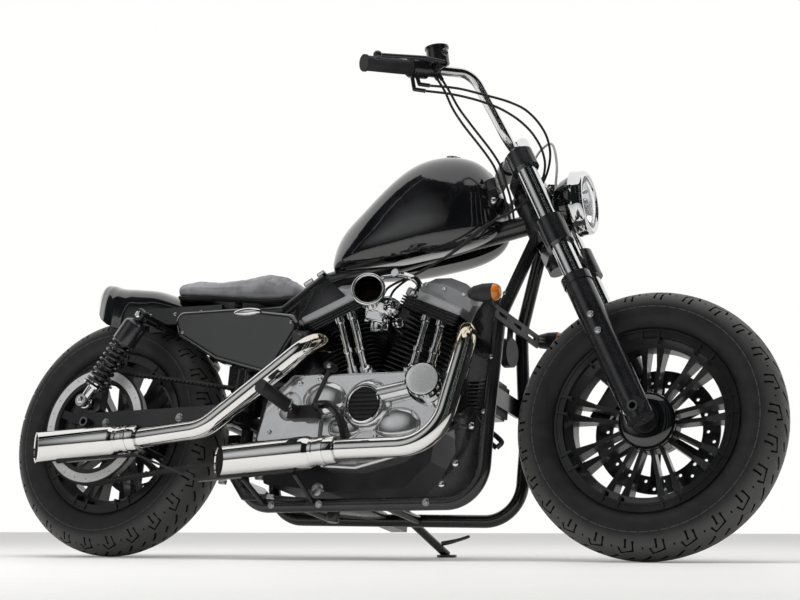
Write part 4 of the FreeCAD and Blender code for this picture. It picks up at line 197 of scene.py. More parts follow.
class Finish:
    """A material with one Principled shader, and the tools to feed it."""

    def __init__(self, name, colour, metal, rough, **fixed):
        self.material = bpy.data.materials.new(name)
        self.material.use_nodes = True
        self.tree = self.material.node_tree
        self.shader = self.tree.nodes["Principled BSDF"]
        self.shader.inputs["Base Color"].default_value = (*colour, 1)
        self.shader.inputs["Metallic"].default_value = metal
        self.shader.inputs["Roughness"].default_value = rough
        for socket, value in fixed.items():
            self.shader.inputs[socket.replace("_", " ")].default_value = value
        self.place = self.node("ShaderNodeTexCoord").part("Object")

    def put(self, socket, value):
        """A link, a colour, a vector or a number on a socket."""
        if isinstance(value, Field):
            self.tree.links.new(value.socket, socket)
        elif socket.type == "RGBA" and len(value) == 3:
            socket.default_value = (*value, 1)
        else:
            socket.default_value = value

    def node(self, kind, settings=None, inputs=None):
        """A node by its type, its settings and the values or links of its sockets."""
        made = self.tree.nodes.new(kind)
        for name, value in (settings or {}).items():
            setattr(made, name, value)
        for key, value in (inputs or {}).items():
            self.put(made.inputs[key], value)
        return Field(self, next(out for out in made.outputs if out.enabled))

    def feed(self, socket, value):
        self.put(self.shader.inputs[socket], value)

    def noise(self, size, detail=3.0):
        """Soft random patches, 0 to 1, of a given size in metres."""
        inputs = {"Vector": self.place, "Scale": 1 / size, "Detail": detail}
        return self.node("ShaderNodeTexNoise", {}, inputs)

    def cells(self, size, feature="F1"):
        """Distance to the nearest of scattered points, for grain and pebbles."""
        inputs = {"Vector": self.place, "Scale": 1 / size}
        return self.node("ShaderNodeTexVoronoi", {"feature": feature}, inputs)

    def blend(self, factor, first, second):
        """A colour between two."""
        made = self.tree.nodes.new("ShaderNodeMix")
        made.data_type = "RGBA"
        for key, value in zip(("Factor_Float", "A_Color", "B_Color"), (factor, first, second)):
            self.put(next(s for s in made.inputs if s.identifier == key), value)
        return Field(self, next(s for s in made.outputs if s.identifier == "Result_Color"))

    def bump(self, height, depth, strength):
        """Relief of a given depth in metres."""
        inputs = {"Height": height, "Distance": depth, "Strength": strength}
        self.feed("Normal", self.node("ShaderNodeBump", {}, inputs))

    def local(self, matrix):
        """Position in a piece's own frame, such as a wheel's, given where that frame is."""
        inverse = matrix.inverted()
        inputs = {
            "Vector": self.place,
            "Location": inverse.translation,
            "Rotation": inverse.to_euler("XYZ"),
        }
        return self.node("ShaderNodeMapping", {"vector_type": "POINT"}, inputs)

    def split(self, vector):
        """The three numbers of a vector."""
        first = self.node("ShaderNodeSeparateXYZ", {}, {"Vector": vector})
        return first, first.part("Y"), first.part("Z")

    def radius(self, matrix):
        """Distance from a piece's own Y axis, as on a wheel."""
        x, _, z = self.split(self.local(matrix))
        return self.node("ShaderNodeMath", {"operation": "SQRT"}, {0: x * x + z * z})


# %% [markdown]
# ### Paint
# The tank, fender and side covers are lacquered: near black, a clear coat on top and a very
# slight orange peel. The frame has a harder, slightly duller coat that shows more texture.

# %% black paints
PEEL = 0.0035
LACQUER_BLACK = (0.0035, 0.0035, 0.0042)


def painted(name, rough, peel_depth, colour=LACQUER_BLACK, coat=1.0):
    """Black paint under a clear coat."""
    made = Finish(name, colour, 0.0, rough, Coat_Weight=coat, Coat_Roughness=0.02)
    haze = made.noise(0.12, 4.0)
    grime = made.noise(0.018, 5.0)
    lighter = tuple(c * 2.6 + 0.002 for c in colour)
    made.feed("Base Color", made.blend(haze.step(0.45, 0.75), colour, lighter))
    made.feed("Roughness", rough + grime.step(0.45, 0.8) * 0.10)
    made.bump(made.noise(PEEL, 1.0), peel_depth, 0.6)
    return made.material


lacquer = painted("gloss_lacquer", 0.08, 0.00001)
frame_coat = painted("frame_coat", 0.22, 0.00005, (0.005, 0.005, 0.0055), 0.4)
wheel_coat = painted("wheel_coat", 0.30, 0.00006, (0.006, 0.006, 0.0065), 0.25)
part_black = painted("parts_black", 0.25, 0.00005, (0.006, 0.006, 0.007), 0.5)

# %% [markdown]
# ### Bright metal
# Chrome plating is a mirror with faint handling marks. Polished aluminium is a little darker
# and softer. The exhaust's first hand's breadth has turned straw and blue with heat.


# %% chrome and polished metal
def bright(name, colour, rough, spread, grain=0.004, depth=0.00001, metal=1.0):
    """Bright metal with faint marks."""
    made = Finish(name, colour, metal, rough)
    marks = made.noise(grain * 8, 5.0)
    cloud = made.noise(0.07, 3.0)
    made.feed("Roughness", rough + marks.step(0.4, 0.85) * spread)
    darker = tuple(c * 0.88 for c in colour)
    made.feed("Base Color", made.blend(cloud.step(0.35, 0.7), colour, darker))
    made.bump(made.noise(grain, 2.0), depth, 0.5)
    return made


chrome = bright("chrome_plate", (0.80, 0.80, 0.81), 0.03, 0.04).material
polished = bright("polished_case", (0.66, 0.66, 0.67), 0.10, 0.10, 0.02, 0.00006, 0.9).material
satin_face = bright("satin_face", (0.62, 0.63, 0.63), 0.26, 0.08, 0.003, 0.00003, 0.55).material
steel = bright("bare_steel", (0.30, 0.30, 0.31), 0.25, 0.15, 0.002, 0.00003).material
fork_chrome = bright("hard_chrome", (0.74, 0.74, 0.75), 0.06, 0.05).material
zinc = bright("bolt_zinc", (0.52, 0.52, 0.53), 0.24, 0.15, 0.001, 0.00003).material
brown_metal = bright("throat_metal", (0.10, 0.085, 0.07), 0.32, 0.1).material

PORTS = [Vector((0.66, -0.07, 0.53)), Vector((1.045, -0.09, 0.535))]
pipe = bright("pipe_chrome", (0.80, 0.79, 0.78), 0.04, 0.05)
heats = []
for port in PORTS:
    ends = {0: pipe.place, 1: FRAME_AT @ port}
    away = pipe.node("ShaderNodeVectorMath", {"operation": "DISTANCE"}, ends)
    heats.append(1 - away.step(0.04, 0.13))
near = heats[0] + heats[1]
straw = pipe.blend(near.step(0.0, 0.6), (0.80, 0.79, 0.78), (0.72, 0.62, 0.44))
pipe.feed("Base Color", pipe.blend(near.step(0.8, 1.0), straw, (0.45, 0.40, 0.40)))
pipe_chrome = pipe.material

silver = bright("satin_silver", (0.33, 0.33, 0.34), 0.30, 0.06, 0.0008, 0.00002, 0.45).material

# %% [markdown]
# ### Rubber, leather and moulded black
# Tyre rubber is dark grey and dusty, never pure black: the crown is painted paler than the side
# wall, partly as wear and partly as a painted sheen of the light from above. Leather has a
# pebbled grain with finer creases. Crackle coat covers the cylinders.


# %% soft and dull blacks
def dull(name, colour, rough, grain, depth, feature="F1"):
    """A dull black surface with a cell grain."""
    made = Finish(name, colour, 0.0, rough, Specular_IOR_Level=0.35)
    dust = made.noise(0.05, 6.0)
    dusty = tuple(c * 1.9 + 0.004 for c in colour)
    made.feed("Base Color", made.blend(dust.step(0.42, 0.8), colour, dusty))
    made.feed("Roughness", rough + dust.step(0.3, 0.8) * 0.12)
    made.bump(made.cells(grain, feature) + made.noise(grain / 3, 2.0) * 0.4, depth, 0.8)
    return made


crackle = dull("crackle_black", (0.010, 0.010, 0.011), 0.46, 0.0016, 0.00025).material
plastic = dull("moulded_black", (0.010, 0.010, 0.011), 0.42, 0.0009, 0.00006).material
grip_rubber = dull("grip_rubber", (0.014, 0.014, 0.015), 0.62, 0.0012, 0.00012).material
belt_rubber = dull("belt_rubber", (0.016, 0.015, 0.015), 0.66, 0.0010, 0.00010).material
hide = dull("seat_leather", (0.12, 0.121, 0.13), 0.30, 0.0026, 0.00016, "DISTANCE_TO_EDGE")
hide.feed("Specular IOR Level", 0.8)
leather = hide.material
grey_sleeve = dull("grey_sleeve", (0.22, 0.22, 0.23), 0.40, 0.0010, 0.00005).material
# Near black for the walls of the tyre grooves: painted shade in the grooves, darker than the rubber.
painted_groove_shade = dull("painted_groove_shade", (0.002, 0.002, 0.002), 0.9, 0.0012, 0.00010).material
soot = dull("soot", (0.012, 0.011, 0.010), 0.85, 0.002, 0.0002).material


def tyre_rubber(name, matrix, radius):
    """Rubber with a paler crown, part wear and part painted sheen, a duller wall and faint moulded rings,
    one of them dashed.
    """
    made = Finish(name, (0.013, 0.013, 0.014), 0.0, 0.62, Specular_IOR_Level=0.45)
    x, _, z = made.split(made.local(matrix))
    out = made.node("ShaderNodeMath", {"operation": "SQRT"}, {0: x * x + z * z})
    angle = made.node("ShaderNodeMath", {"operation": "ARCTAN2"}, {0: z, 1: x})
    crown = out.step(radius - 0.050, radius - 0.022)
    dust = made.noise(0.03, 6.0)
    wall = made.blend(dust.step(0.4, 0.8), (0.010, 0.010, 0.011), (0.018, 0.018, 0.018))
    dash = (angle * 70.0).sine().step(-0.95, -0.8)
    line = out.step(0.2665, 0.2670) * (1 - out.step(0.2685, 0.2690)) * dash
    # The crown is painted paler all round: partly wear, partly a painted sheen of the light from above.
    worn_crown_and_sheen = made.blend(crown * 0.8, wall, (0.062, 0.061, 0.060))
    made.feed("Base Color", made.blend(line * 0.45, worn_crown_and_sheen, (0.10, 0.10, 0.10)))
    made.feed("Roughness", 0.46 + dust * 0.15 - crown * 0.04)
    rings = (out * 2400.0).sine() * (1 - out.step(0.225, 0.24))
    made.bump(made.noise(0.0012, 3.0) * 0.5 + rings * 0.4 + line * 2.0, 0.0001, 0.7)
    return made.material


REAR_WHEEL_AT = FRAME_AT @ Matrix.Translation(REAR_HUB)
FRONT_WHEEL_AT = FRONT_AT @ Matrix.Translation(FRONT_HUB)
REAR_TYRE_R, FRONT_TYRE_R = 0.323, 0.320
rear_rubber = tyre_rubber("rear_tyre_rubber", REAR_WHEEL_AT, REAR_TYRE_R)
front_rubber = tyre_rubber("front_tyre_rubber", FRONT_WHEEL_AT, FRONT_TYRE_R)


def ringed(name, matrix, inside, outside, colour, metal=0.95):
    """A turned ring, brushed round its axis, on a black carrier."""
    made = Finish(name, colour, 1.0, 0.3)
    out = made.radius(matrix)
    ring = out.step(inside - 0.001, inside) * (1 - out.step(outside, outside + 0.001))
    brush = (out * 5200.0).sine() * 0.5 + made.noise(0.004, 4.0)
    made.feed("Base Color", made.blend(ring, (0.010, 0.010, 0.011), colour))
    made.feed("Metallic", ring * metal)
    made.feed("Roughness", 0.34 - ring * 0.08 + brush * 0.05)
    made.bump(brush * ring, 0.00004, 0.6)
    return made.material


rear_disc_steel = ringed("rear_disc_steel", REAR_WHEEL_AT, 0.106, 0.142, (0.10, 0.10, 0.105))
front_disc_steel = ringed("front_disc_steel", FRONT_WHEEL_AT, 0.106, 0.152, (0.08, 0.08, 0.085))
pulley_metal = ringed("pulley_metal", REAR_WHEEL_AT, 0.130, 0.152, (0.62, 0.62, 0.62), 0.4)

# %% [markdown]
# ### Glass
# The headlight glass is clear and the signal lenses are amber. Both pass light, so the reflector
# behind them is modelled too.

# %% glass
glass = Finish("lamp_glass", (0.97, 0.98, 1.0), 0.0, 0.02, Transmission_Weight=1.0, IOR=1.46)
glass.feed("Roughness", 0.015 + glass.noise(0.03, 4.0) * 0.03)
lamp_glass = glass.material
amber = Finish("amber_lens", (0.85, 0.26, 0.02), 0.0, 0.12, Transmission_Weight=0.35, Coat_Weight=0.6)
amber.feed("Base Color", amber.blend(amber.noise(0.006, 2.0), (0.90, 0.30, 0.03), (0.62, 0.15, 0.01)))
amber_lens = amber.material

# %% [markdown]
# ## Finishes onto the CAD nodes
# The CAD solids that already have the right shape stay, and only take a finish.

# %% assign the finishes
NODE_FINISH = {
    lacquer: ["fuel_tank", "rear_fender", "side_covers", "headlight_shell"],
    frame_coat: ["frame_neck", "frame_downtubes", "frame_lower_rails", "frame_rear"]
    + ["swingarm", "side_stand"],
    part_black: ["fork_clamps", "fork_sliders", "front_caliper", "rear_caliper"]
    + ["hand_controls", "rear_shocks"],
    wheel_coat: ["front_wheel", "rear_wheel"],
    chrome: ["handlebar", "air_horn", "pushrod_tubes", "oil_filter", "primary_cover"],
    steel: ["front_axle", "rear_axle"],
    fork_chrome: ["fork_tubes"],
    polished: ["gearcase_cover"],
    silver: ["rocker_boxes"],
    pipe_chrome: ["exhaust_headers", "mufflers"],
    crackle: ["cylinders", "crankcase", "timer_cover"],
    plastic: ["seat_pan", "front_electrics", "foot_controls"],
    grip_rubber: ["hand_grips", "control_cables"],
    belt_rubber: ["drive_belt"],
    leather: ["seat_cushion"],
    rear_rubber: ["rear_tyre"],
    front_rubber: ["front_tyre"],
    rear_disc_steel: ["rear_brake_disc"],
    front_disc_steel: ["front_brake_disc"],
    pulley_metal: ["rear_pulley"],
    lamp_glass: ["headlight_lens"],
}
finished = set()
for finish, names in NODE_FINISH.items():
    for name in names:
        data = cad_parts[name].data
        data.materials.clear()
        data.materials.append(finish)
        finished.add(name)
print("nodes without a finish:", sorted(set(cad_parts) - finished))

# %% [markdown]
# ## Bench tools
# Small helpers for modelling by operators. Everything is deselected before each piece, because
# the loaded nodes arrive selected. `settle` moves a finished mesh from the upright machine to
# the parked one, gives it its finish and lets it ride on a body.


# %% helpers
def linked(name, data):
    """A new object in the scene."""
    made = bpy.data.objects.new(name, data)
    bpy.context.scene.collection.objects.link(made)
    return made


def node_copy(node):
    """A new object with a copy of a CAD node's mesh."""
    return linked(node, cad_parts[node].data.copy())


def deselect():
    if bpy.context.object and bpy.context.object.mode != "OBJECT":
        bpy.ops.object.mode_set(mode="OBJECT")
    bpy.ops.object.select_all(action="DESELECT")


def only(piece):
    """Make one piece the selected and active one."""
    deselect()
    piece.select_set(True)
    bpy.context.view_layer.objects.active = piece
    return piece


def edit(piece):
    """Edit mode with nothing selected."""
    only(piece)
    bpy.ops.object.mode_set(mode="EDIT")
    bpy.ops.mesh.select_mode(type="VERT")
    bpy.ops.mesh.select_all(action="DESELECT")


def pick(piece, test, kind="VERT"):
    """Select the vertices or faces of the piece in edit mode that pass a test, by place or normal."""
    bpy.ops.object.mode_set(mode="OBJECT")
    mesh = piece.data
    for group in (mesh.vertices, mesh.edges, mesh.polygons):
        group.foreach_set("select", [False] * len(group))
    for item in mesh.vertices if kind == "VERT" else mesh.polygons:
        item.select = bool(test(item))
    bpy.ops.object.mode_set(mode="EDIT")
    bpy.ops.mesh.select_mode(type=kind)


def done():
    bpy.ops.object.mode_set(mode="OBJECT")


def apply(piece, kind, **settings):
    """Add a modifier and apply it."""
    only(piece)
    modifier = piece.modifiers.new(kind.lower(), kind)
    for name, value in settings.items():
        setattr(modifier, name, value)
    bpy.ops.object.modifier_apply(modifier=modifier.name)
    return piece


def bevel(piece, width, segments, limit):
    """Round the edges that turn by more than a limit in degrees."""
    turn = {"limit_method": "ANGLE", "angle_limit": math.radians(limit)}
    return apply(piece, "BEVEL", width=width, segments=segments, **turn)


def weld(piece, gap, outwards=True):
    """Merge vertices closer than a gap, and turn the faces outwards if asked."""
    edit(piece)
    bpy.ops.mesh.select_all(action="SELECT")
    bpy.ops.mesh.remove_doubles(threshold=gap)
    if outwards:
        bpy.ops.mesh.normals_make_consistent(inside=False)
    done()
    return piece


def join(pieces, name):
    """Several pieces as one."""
    deselect()
    for piece in pieces:
        piece.select_set(True)
    bpy.context.view_layer.objects.active = pieces[0]
    if len(pieces) > 1:
        bpy.ops.object.join()
    made = bpy.context.object
    made.name = made.data.name = name
    return made


def copied(piece, matrix):
    """A copy with its own mesh, moved."""
    twin = linked(piece.name, piece.data.copy())
    twin.data.transform(matrix)
    if matrix.determinant() < 0:
        twin.data.flip_normals()
    return twin


def settle(pieces, name, finish, body="frame", replaces=(), angle=32):
    """Finish a piece, or a list of pieces as one, that was drawn on the upright machine."""
    piece = join(pieces, name) if isinstance(pieces, list) else pieces
    piece.name = piece.data.name = name
    piece.data.transform(AT[body])
    if finish is not None:
        piece.data.materials.clear()
        piece.data.materials.append(finish)
    only(piece)
    bpy.ops.object.shade_smooth_by_angle(angle=math.radians(angle))
    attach(piece, body)
    if replaces:
        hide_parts(*replaces)
    print(name, "has", len(piece.data.polygons), "faces")
    return piece


def wire(points, closed=False):
    """A bare line of vertices, the start of a spun or extruded form."""
    mesh = bpy.data.meshes.new("line")
    pairs = [(i, i + 1) for i in range(len(points) - 1)]
    if closed:
        pairs.append((len(points) - 1, 0))
    mesh.from_pydata([tuple(p) for p in points], pairs, [])
    return linked("line", mesh)


def spun(points, centre, axis, steps, turn=math.tau, closed=False):
    """A form turned from a line of points about an axis."""
    made = wire(points, closed)
    edit(made)
    bpy.ops.mesh.select_all(action="SELECT")
    bpy.ops.mesh.spin(steps=steps, angle=turn, center=centre, axis=axis)
    done()
    return weld(made, 0.00001)


def tube(points, radius, sides):
    """A round bar along a line of points, with closed ends."""
    curve = bpy.data.curves.new("tube", "CURVE")
    curve.dimensions = "3D"
    curve.bevel_depth = radius
    curve.bevel_resolution = sides
    curve.use_fill_caps = True
    spline = curve.splines.new("POLY")
    spline.points.add(len(points) - 1)
    for target, point in zip(spline.points, points):
        target.co = (*point, 1)
    only(linked("tube", curve))
    bpy.ops.object.convert(target="MESH")
    return bpy.context.object


def arc_through(a, b, c, count):
    """Points on the circle through three, as flat (x, y) pairs."""
    (ax, ay), (bx, by), (cx, cy) = a, b, c
    d = 2 * (ax * (by - cy) + bx * (cy - ay) + cx * (ay - by))
    ux = ((ax**2 + ay**2) * (by - cy) + (bx**2 + by**2) * (cy - ay) + (cx**2 + cy**2) * (ay - by)) / d
    uy = ((ax**2 + ay**2) * (cx - bx) + (bx**2 + by**2) * (ax - cx) + (cx**2 + cy**2) * (bx - ax)) / d
    first, mid, last = (math.atan2(y - uy, x - ux) for x, y in (a, b, c))
    mid -= math.tau * round((mid - first) / math.tau)
    last -= math.tau * round((last - mid) / math.tau)
    size = math.hypot(ax - ux, ay - uy)
    angles = [first + (last - first) * i / count for i in range(count + 1)]
    return [(ux + size * math.cos(t), uy + size * math.sin(t)) for t in angles]


# %% [markdown]
# ## Tyres
# A tyre's tread is cut, not printed: the grooves are real channels whose walls catch the light, though they
# are painted near black as shade. One pitch of the tread is modelled as a closed wedge of tyre, the grooves
# are taken out
# of it by a Boolean with thin bent bars, and the finished wedge is copied round the wheel.

# %% the tyre's section
BEAD_R = 0.203
TYRE_WALL = 0.011
TYRE_SHARES = [(0.0, 0.60), (0.145, 0.63), (0.28, 0.90), (0.52, 1.0), (0.70, 0.955), (0.83, 0.80)]


def tyre_side(radius, half, fine):
    """The section from the right bead over the crown to the left bead, as (radius, y) pairs."""
    tall = radius - BEAD_R
    right = [(BEAD_R + h * tall, -w * half) for h, w in TYRE_SHARES]
    ring = right + [(radius, 0.0)] + [(r, -y) for r, y in right[::-1]]
    line = [ring[0], ring[1]]
    for i in (1, 3, 5, 7, 9):
        line += arc_through(ring[i], ring[i + 1], ring[i + 2], fine)[1:]
    return line + [ring[-1]]


# %% the grooves of one pitch
PITCHES = 26
PITCH = math.tau / PITCHES
GROOVE_R, GROOVE_SUNK, TREAD_TALL = 0.0034, 0.35, 0.06
# Each groove: its stations as shares of the pitch round the wheel and of the half width across
GROOVES = [
    [(0.10, 0.93), (0.13, 0.66), (0.52, 0.54), (0.58, 0.76)],
    [(0.34, 0.95), (0.37, 0.74)],
    [(0.78, 0.76), (0.83, 0.77)],
    [(0.62, 0.40), (0.80, 0.22), (0.95, 0.12)],
    [(0.15, 0.30), (0.40, 0.12)],
]


def groove_bar(stations, radius, half, side, section):
    """A bent bar that lies half in the tread along a groove's stations."""
    line = []
    for round_share, across_share in stations:
        y = side * across_share * half
        near = min((abs(sy - y), sr) for sr, sy in section if sr > radius - TREAD_TALL)
        r = near[1] - GROOVE_R * GROOVE_SUNK
        angle = round_share * PITCH
        line.append((r * math.sin(angle), y, r * math.cos(angle)))
    return tube(line, GROOVE_R, 1)


def on_end(face, plane):
    """Whether a face lies in a plane through the hub."""
    return abs(face.center.dot(plane)) < 1e-5 and abs(abs(face.normal.dot(plane)) - 1) < 1e-3


def make_tyre(end, hub, radius, width, finish):
    """A tyre with its tread, built from copies of one cut wedge."""
    half = width / 2
    inner = tyre_side(radius - TYRE_WALL, half - TYRE_WALL, 3)
    points = [Vector((0, y, r)) for r, y in tyre_side(radius, half, 8) + inner[::-1]]
    wedge = spun(points, (0, 0, 0), SIDEWAYS, 5, -PITCH, closed=True)
    planes = [Vector((math.cos(turn), 0, -math.sin(turn))) for turn in (0.0, PITCH)]
    edit(wedge)
    for plane in planes:
        pick(wedge, lambda vertex: abs(vertex.co.dot(plane)) < 1e-6)
        bpy.ops.mesh.edge_face_add()
    bpy.ops.mesh.select_all(action="SELECT")
    bpy.ops.mesh.normals_make_consistent(inside=False)
    done()
    fine = tyre_side(radius, half, 40)
    bars = []
    for side in (-1, 1):
        for stations in GROOVES:
            mirrored = stations if side < 0 else [(1.0 - a, b) for a, b in stations]
            bars.append(groove_bar(mirrored, radius, half, side, fine))
    cutter = join(bars, "cutter")
    # The groove walls take the near-black painted shade.
    cutter.data.materials.append(painted_groove_shade)
    wedge.data.materials.append(finish)
    cut = {"object": cutter, "solver": "EXACT", "use_self": True, "material_mode": "TRANSFER"}
    apply(wedge, "BOOLEAN", **cut)
    bpy.data.objects.remove(cutter)
    edit(wedge)
    pick(wedge, lambda face: any(on_end(face, plane) for plane in planes), "FACE")
    bpy.ops.mesh.delete(type="FACE")
    done()
    wedges = [copied(wedge, Matrix.Rotation(PITCH * i, 4, "Y")) for i in range(PITCHES)]
    bpy.data.objects.remove(wedge)
    made = weld(join(wedges, "tyre"), 0.00002, False)
    made.data.transform(Matrix.Translation(hub))
    settle(made, "tyre_" + end, None, end + "_wheel", [end + "_tyre"], 40)


make_tyre("rear", REAR_HUB, REAR_TYRE_R, 0.150, rear_rubber)
make_tyre("front", FRONT_HUB, FRONT_TYRE_R, 0.130, front_rubber)

# %% [markdown]
# ## Tools for small fittings
# Bolts and trim must sit on what carries them. A line is shot at the CAD node, and where it
# first meets the surface, facing as that surface faces, the fitting is set down. Turned forms
# are drawn round Z and carried to their place; rods follow a smooth curve through a few points.

# %% fitting tools
SURFACES = {}
DOWN, FACING_RIGHT, UPWARDS = (0, 0, -1), (0, -1, 0), (0, 0, 1)


def mm(x, y, z):
    return Vector((x, y, z)) / 1000


def path(*points):
    """Places from points in mm."""
    return [mm(*point) for point in points]


def seat_on(node, body, at, aim):
    """Where a line through a point first meets a CAD node, and which way that surface faces."""
    if node not in SURFACES:
        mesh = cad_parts[node].data
        corners = [v.co for v in mesh.vertices]
        SURFACES[node] = BVHTree.FromPolygons(corners, [list(f.vertices) for f in mesh.polygons])
    way = (AT[body].to_3x3() @ Vector(aim)).normalized()
    place, facing, _, _ = SURFACES[node].ray_cast(AT[body] @ at - way * 0.5, way)
    if place is None:
        return None
    if facing.dot(way) > 0:
        facing = -facing
    back = AT[body].inverted()
    return back @ place, (back.to_3x3() @ facing).normalized()


def placed(at, axis):
    """The matrix that carries a form drawn round Z to a place and a direction."""
    return Matrix.Translation(at) @ Vector(axis).to_track_quat("Z", "Y").to_matrix().to_4x4()


def turned(profile, at, axis, steps=36, closed=False):
    """A form turned from (radius, along) pairs in mm, carried to its place."""
    made = spun([mm(r, 0, a) for r, a in profile], (0, 0, 0), UPWARDS, steps, closed=closed)
    made.data.transform(placed(at, axis))
    return made


def curve_through(points, count):
    """Points on a smooth curve through a few given ones."""
    line = [points[0] * 2 - points[1], *points, points[-1] * 2 - points[-2]]
    found = []
    for a, b, c, d in zip(line, line[1:], line[2:], line[3:]):
        for k in range(count):
            t = k / count
            bend = (a * 2 - b * 5 + c * 4 - d) * t * t + (b * 3 - a - c * 3 + d) * t**3
            found.append((b * 2 + (c - a) * t + bend) / 2)
    return found + [points[-1]]


def rod(points, radius):
    """A round rod along a smooth curve."""
    return tube(curve_through(points, 8), radius, 2)


def chunk(size, at, turn=0.0, edge=0.003, inset=0.004):
    """A cast block with rounded edges and a panel drawn on its outer sides; its size is in mm."""
    deselect()
    bpy.ops.mesh.primitive_cube_add(size=1.0)
    made = bpy.context.object
    made.data.transform(Matrix.Diagonal((*[s / 1000 for s in size], 1)))
    edit(made)
    pick(made, lambda f: abs(f.normal.y) > 0.5 or f.normal.z > 0.5, "FACE")
    bpy.ops.mesh.inset(thickness=inset, use_individual=True)
    done()
    bevel(made, edge, 2, 40)
    made.data.transform(Matrix.Translation(at) @ Matrix.Rotation(turn, 4, "Y"))
    return made


def plate(outline, y, thick):
    """A flat plate from an outline of (x, z) pairs in mm, with softened edges."""
    count = len(outline)
    corners = [mm(x, y + side * thick / 2, z) for side in (-1, 1) for x, z in outline]
    sides = [(i, (i + 1) % count, (i + 1) % count + count, i + count) for i in range(count)]
    mesh = bpy.data.meshes.new("plate")
    mesh.from_pydata(corners, [], [list(range(count))[::-1], list(range(count, count * 2)), *sides])
    return bevel(weld(linked("plate", mesh), 0.00001), 0.0012, 2, 30)


# %% [markdown]
# ## Fasteners
# Three heads cover almost every bolt on the machine: a hexagon on a washer, a socket cap and a
# dome. Each is turned once at unit size, then copied to wherever a line meets the metal.

# %% three bolt heads
HEX = [(0, 0.80), (0.80, 0.80), (1.0, 0.66), (1.0, -0.2)]
WASHER = [(0, 0.16), (1.32, 0.16), (1.38, 0.08), (1.38, -0.2)]
SOCKET = [(0, 0.30), (0.50, 0.30), (0.50, 0.90), (0.84, 0.90), (1.0, 0.74), (1.0, -0.2)]
DOME = [(0, 0.62), (0.35, 0.58), (0.70, 0.42), (0.92, 0.18), (1.0, -0.2)]
HEADS = {"hex": [(HEX, 6), (WASHER, 24)], "socket": [(SOCKET, 18)], "dome": [(DOME, 18)]}
MODEL_HEADS = {}
for kind, forms in HEADS.items():
    parts = [spun([Vector((r, 0, a)) for r, a in line], (0, 0, 0), UPWARDS, steps) for line, steps in forms]
    MODEL_HEADS[kind] = join(parts, kind)


def fasteners(name, body, finish, spots):
    """Bolt heads of one finish on one body; each spot is (kind, node, place, aim, size in mm)."""
    made = []
    for kind, node, at, aim, size in spots:
        found = seat_on(node, body, at, aim)
        if found is None:
            print("  no metal for a bolt on", node, "at", at)
            continue
        made.append(copied(MODEL_HEADS[kind], placed(*found) @ Matrix.Scale(size / 1000, 4)))
    return settle(made, name, finish, body)


def row(kind, node, size, places, sides=(-1, 1)):
    """Bolts at (x, z) places in mm, shot from the right side (-1), the left one (1) or both."""
    return [(kind, node, mm(x, side * 300, z), (0, -side, 0), size) for x, z in places for side in sides]


def wheel_ring(hub, node, radius, side, kind, size):
    """A ring of five bolts round a hub, on one side."""
    angles = [math.tau * i / 5 for i in range(5)]
    spokes = [Vector((math.cos(a) * radius, side * 0.3, math.sin(a) * radius)) for a in angles]
    return [(kind, node, hub + spoke, (0, -side, 0), size) for spoke in spokes]


# %% bolts of the engine and frame
CASE = [(745, 352), (856, 272), (930, 278), (1002, 352), (636, 410), (560, 288), (700, 268), (690, 420)]
PRIMARY = [(545, 300), (600, 380), (600, 222), (720, 345), (720, 212), (830, 352), (830, 195), (892, 275)]
ROCKERS = [(628, 622), (668, 638), (708, 654), (918, 678), (970, 662), (1024, 644)]
engine_spots = row("socket", "gearcase_cover", 6.0, CASE, [-1])
engine_spots += row("socket", "primary_cover", 6.0, PRIMARY, [1])
engine_spots += row("socket", "rocker_boxes", 5.0, ROCKERS)
fasteners("bolts_engine", "frame", chrome, engine_spots)
DOWNTUBES, LOWER_RAILS = [(1136, 640), (1128, 470), (1130, 330)], [(1000, 114), (700, 114), (560, 114)]
frame_spots = row("dome", "frame_downtubes", 6.5, DOWNTUBES, [-1])
frame_spots += row("hex", "frame_lower_rails", 7.0, LOWER_RAILS, [-1])
frame_spots += row("hex", "swingarm", 8.0, [(60, 323), (291, 330), (440, 334)])
frame_spots += row("dome", "frame_rear", 6.0, [(120, 626), (200, 626), (282, 628), (560, 640)])
frame_spots += row("dome", "side_covers", 4.5, [(262, 560), (545, 455), (590, 570)])
frame_spots += row("hex", "rear_axle", 15.0, [(0, 323)])
frame_spots += row("dome", "foot_controls", 6.0, [(786, 414)], [-1])
fasteners("bolts_frame", "frame", zinc, frame_spots)

# %% bolts of the front end and the wheels
ALONG_FORK, BACKWARDS = tuple(-STEER_UP), tuple(-AHEAD)
fork_spots = []
for side in (-1, 1):
    inwards = (0, -side, 0)
    for along in (0.480, 0.518, 0.702, 0.726):
        fork_spots.append(("socket", "fork_clamps", fork_point(along, 0.3, side * 0.082), BACKWARDS, 5.5))
    for along in (0.250, 0.205):
        fork_spots.append(("hex", "fork_sliders", fork_point(along, 0.045, side * 0.3), inwards, 6.0))
    fork_spots.append(("dome", "handlebar", fork_point(1.0, 0.032, side * 0.045), ALONG_FORK, 9.0))
    fork_spots.append(("hex", "fork_sliders", FRONT_HUB + mm(-22, side * 300, -12), inwards, 6.0))
    fork_spots.append(("hex", "fork_tubes", fork_point(0.9, 0.0452, side * 0.118), ALONG_FORK, 14.0))
fork_spots.append(("hex", "fork_clamps", fork_point(0.9), ALONG_FORK, 15.0))
fasteners("bolts_fork", "steering", chrome, fork_spots)
for end, hub, right_node in (("front", FRONT_HUB, "front_wheel"), ("rear", REAR_HUB, "rear_pulley")):
    radius, size = (0.055, 5.0) if end == "front" else (0.036, 6.0)
    ring = wheel_ring(hub, right_node, radius, -1, "socket", size)
    ring += wheel_ring(hub, end + "_brake_disc", 0.044, 1, "dome", 6.0)
    fasteners("bolts_" + end + "_wheel", end + "_wheel", steel, ring)

# %% [markdown]
# ## Rear fender
# A pressed sheet-metal fender is one double curve: its crown dips behind the seat and rises
# again to a turned-up tail. It is skinned over arches whose shoulders are a rounded square.

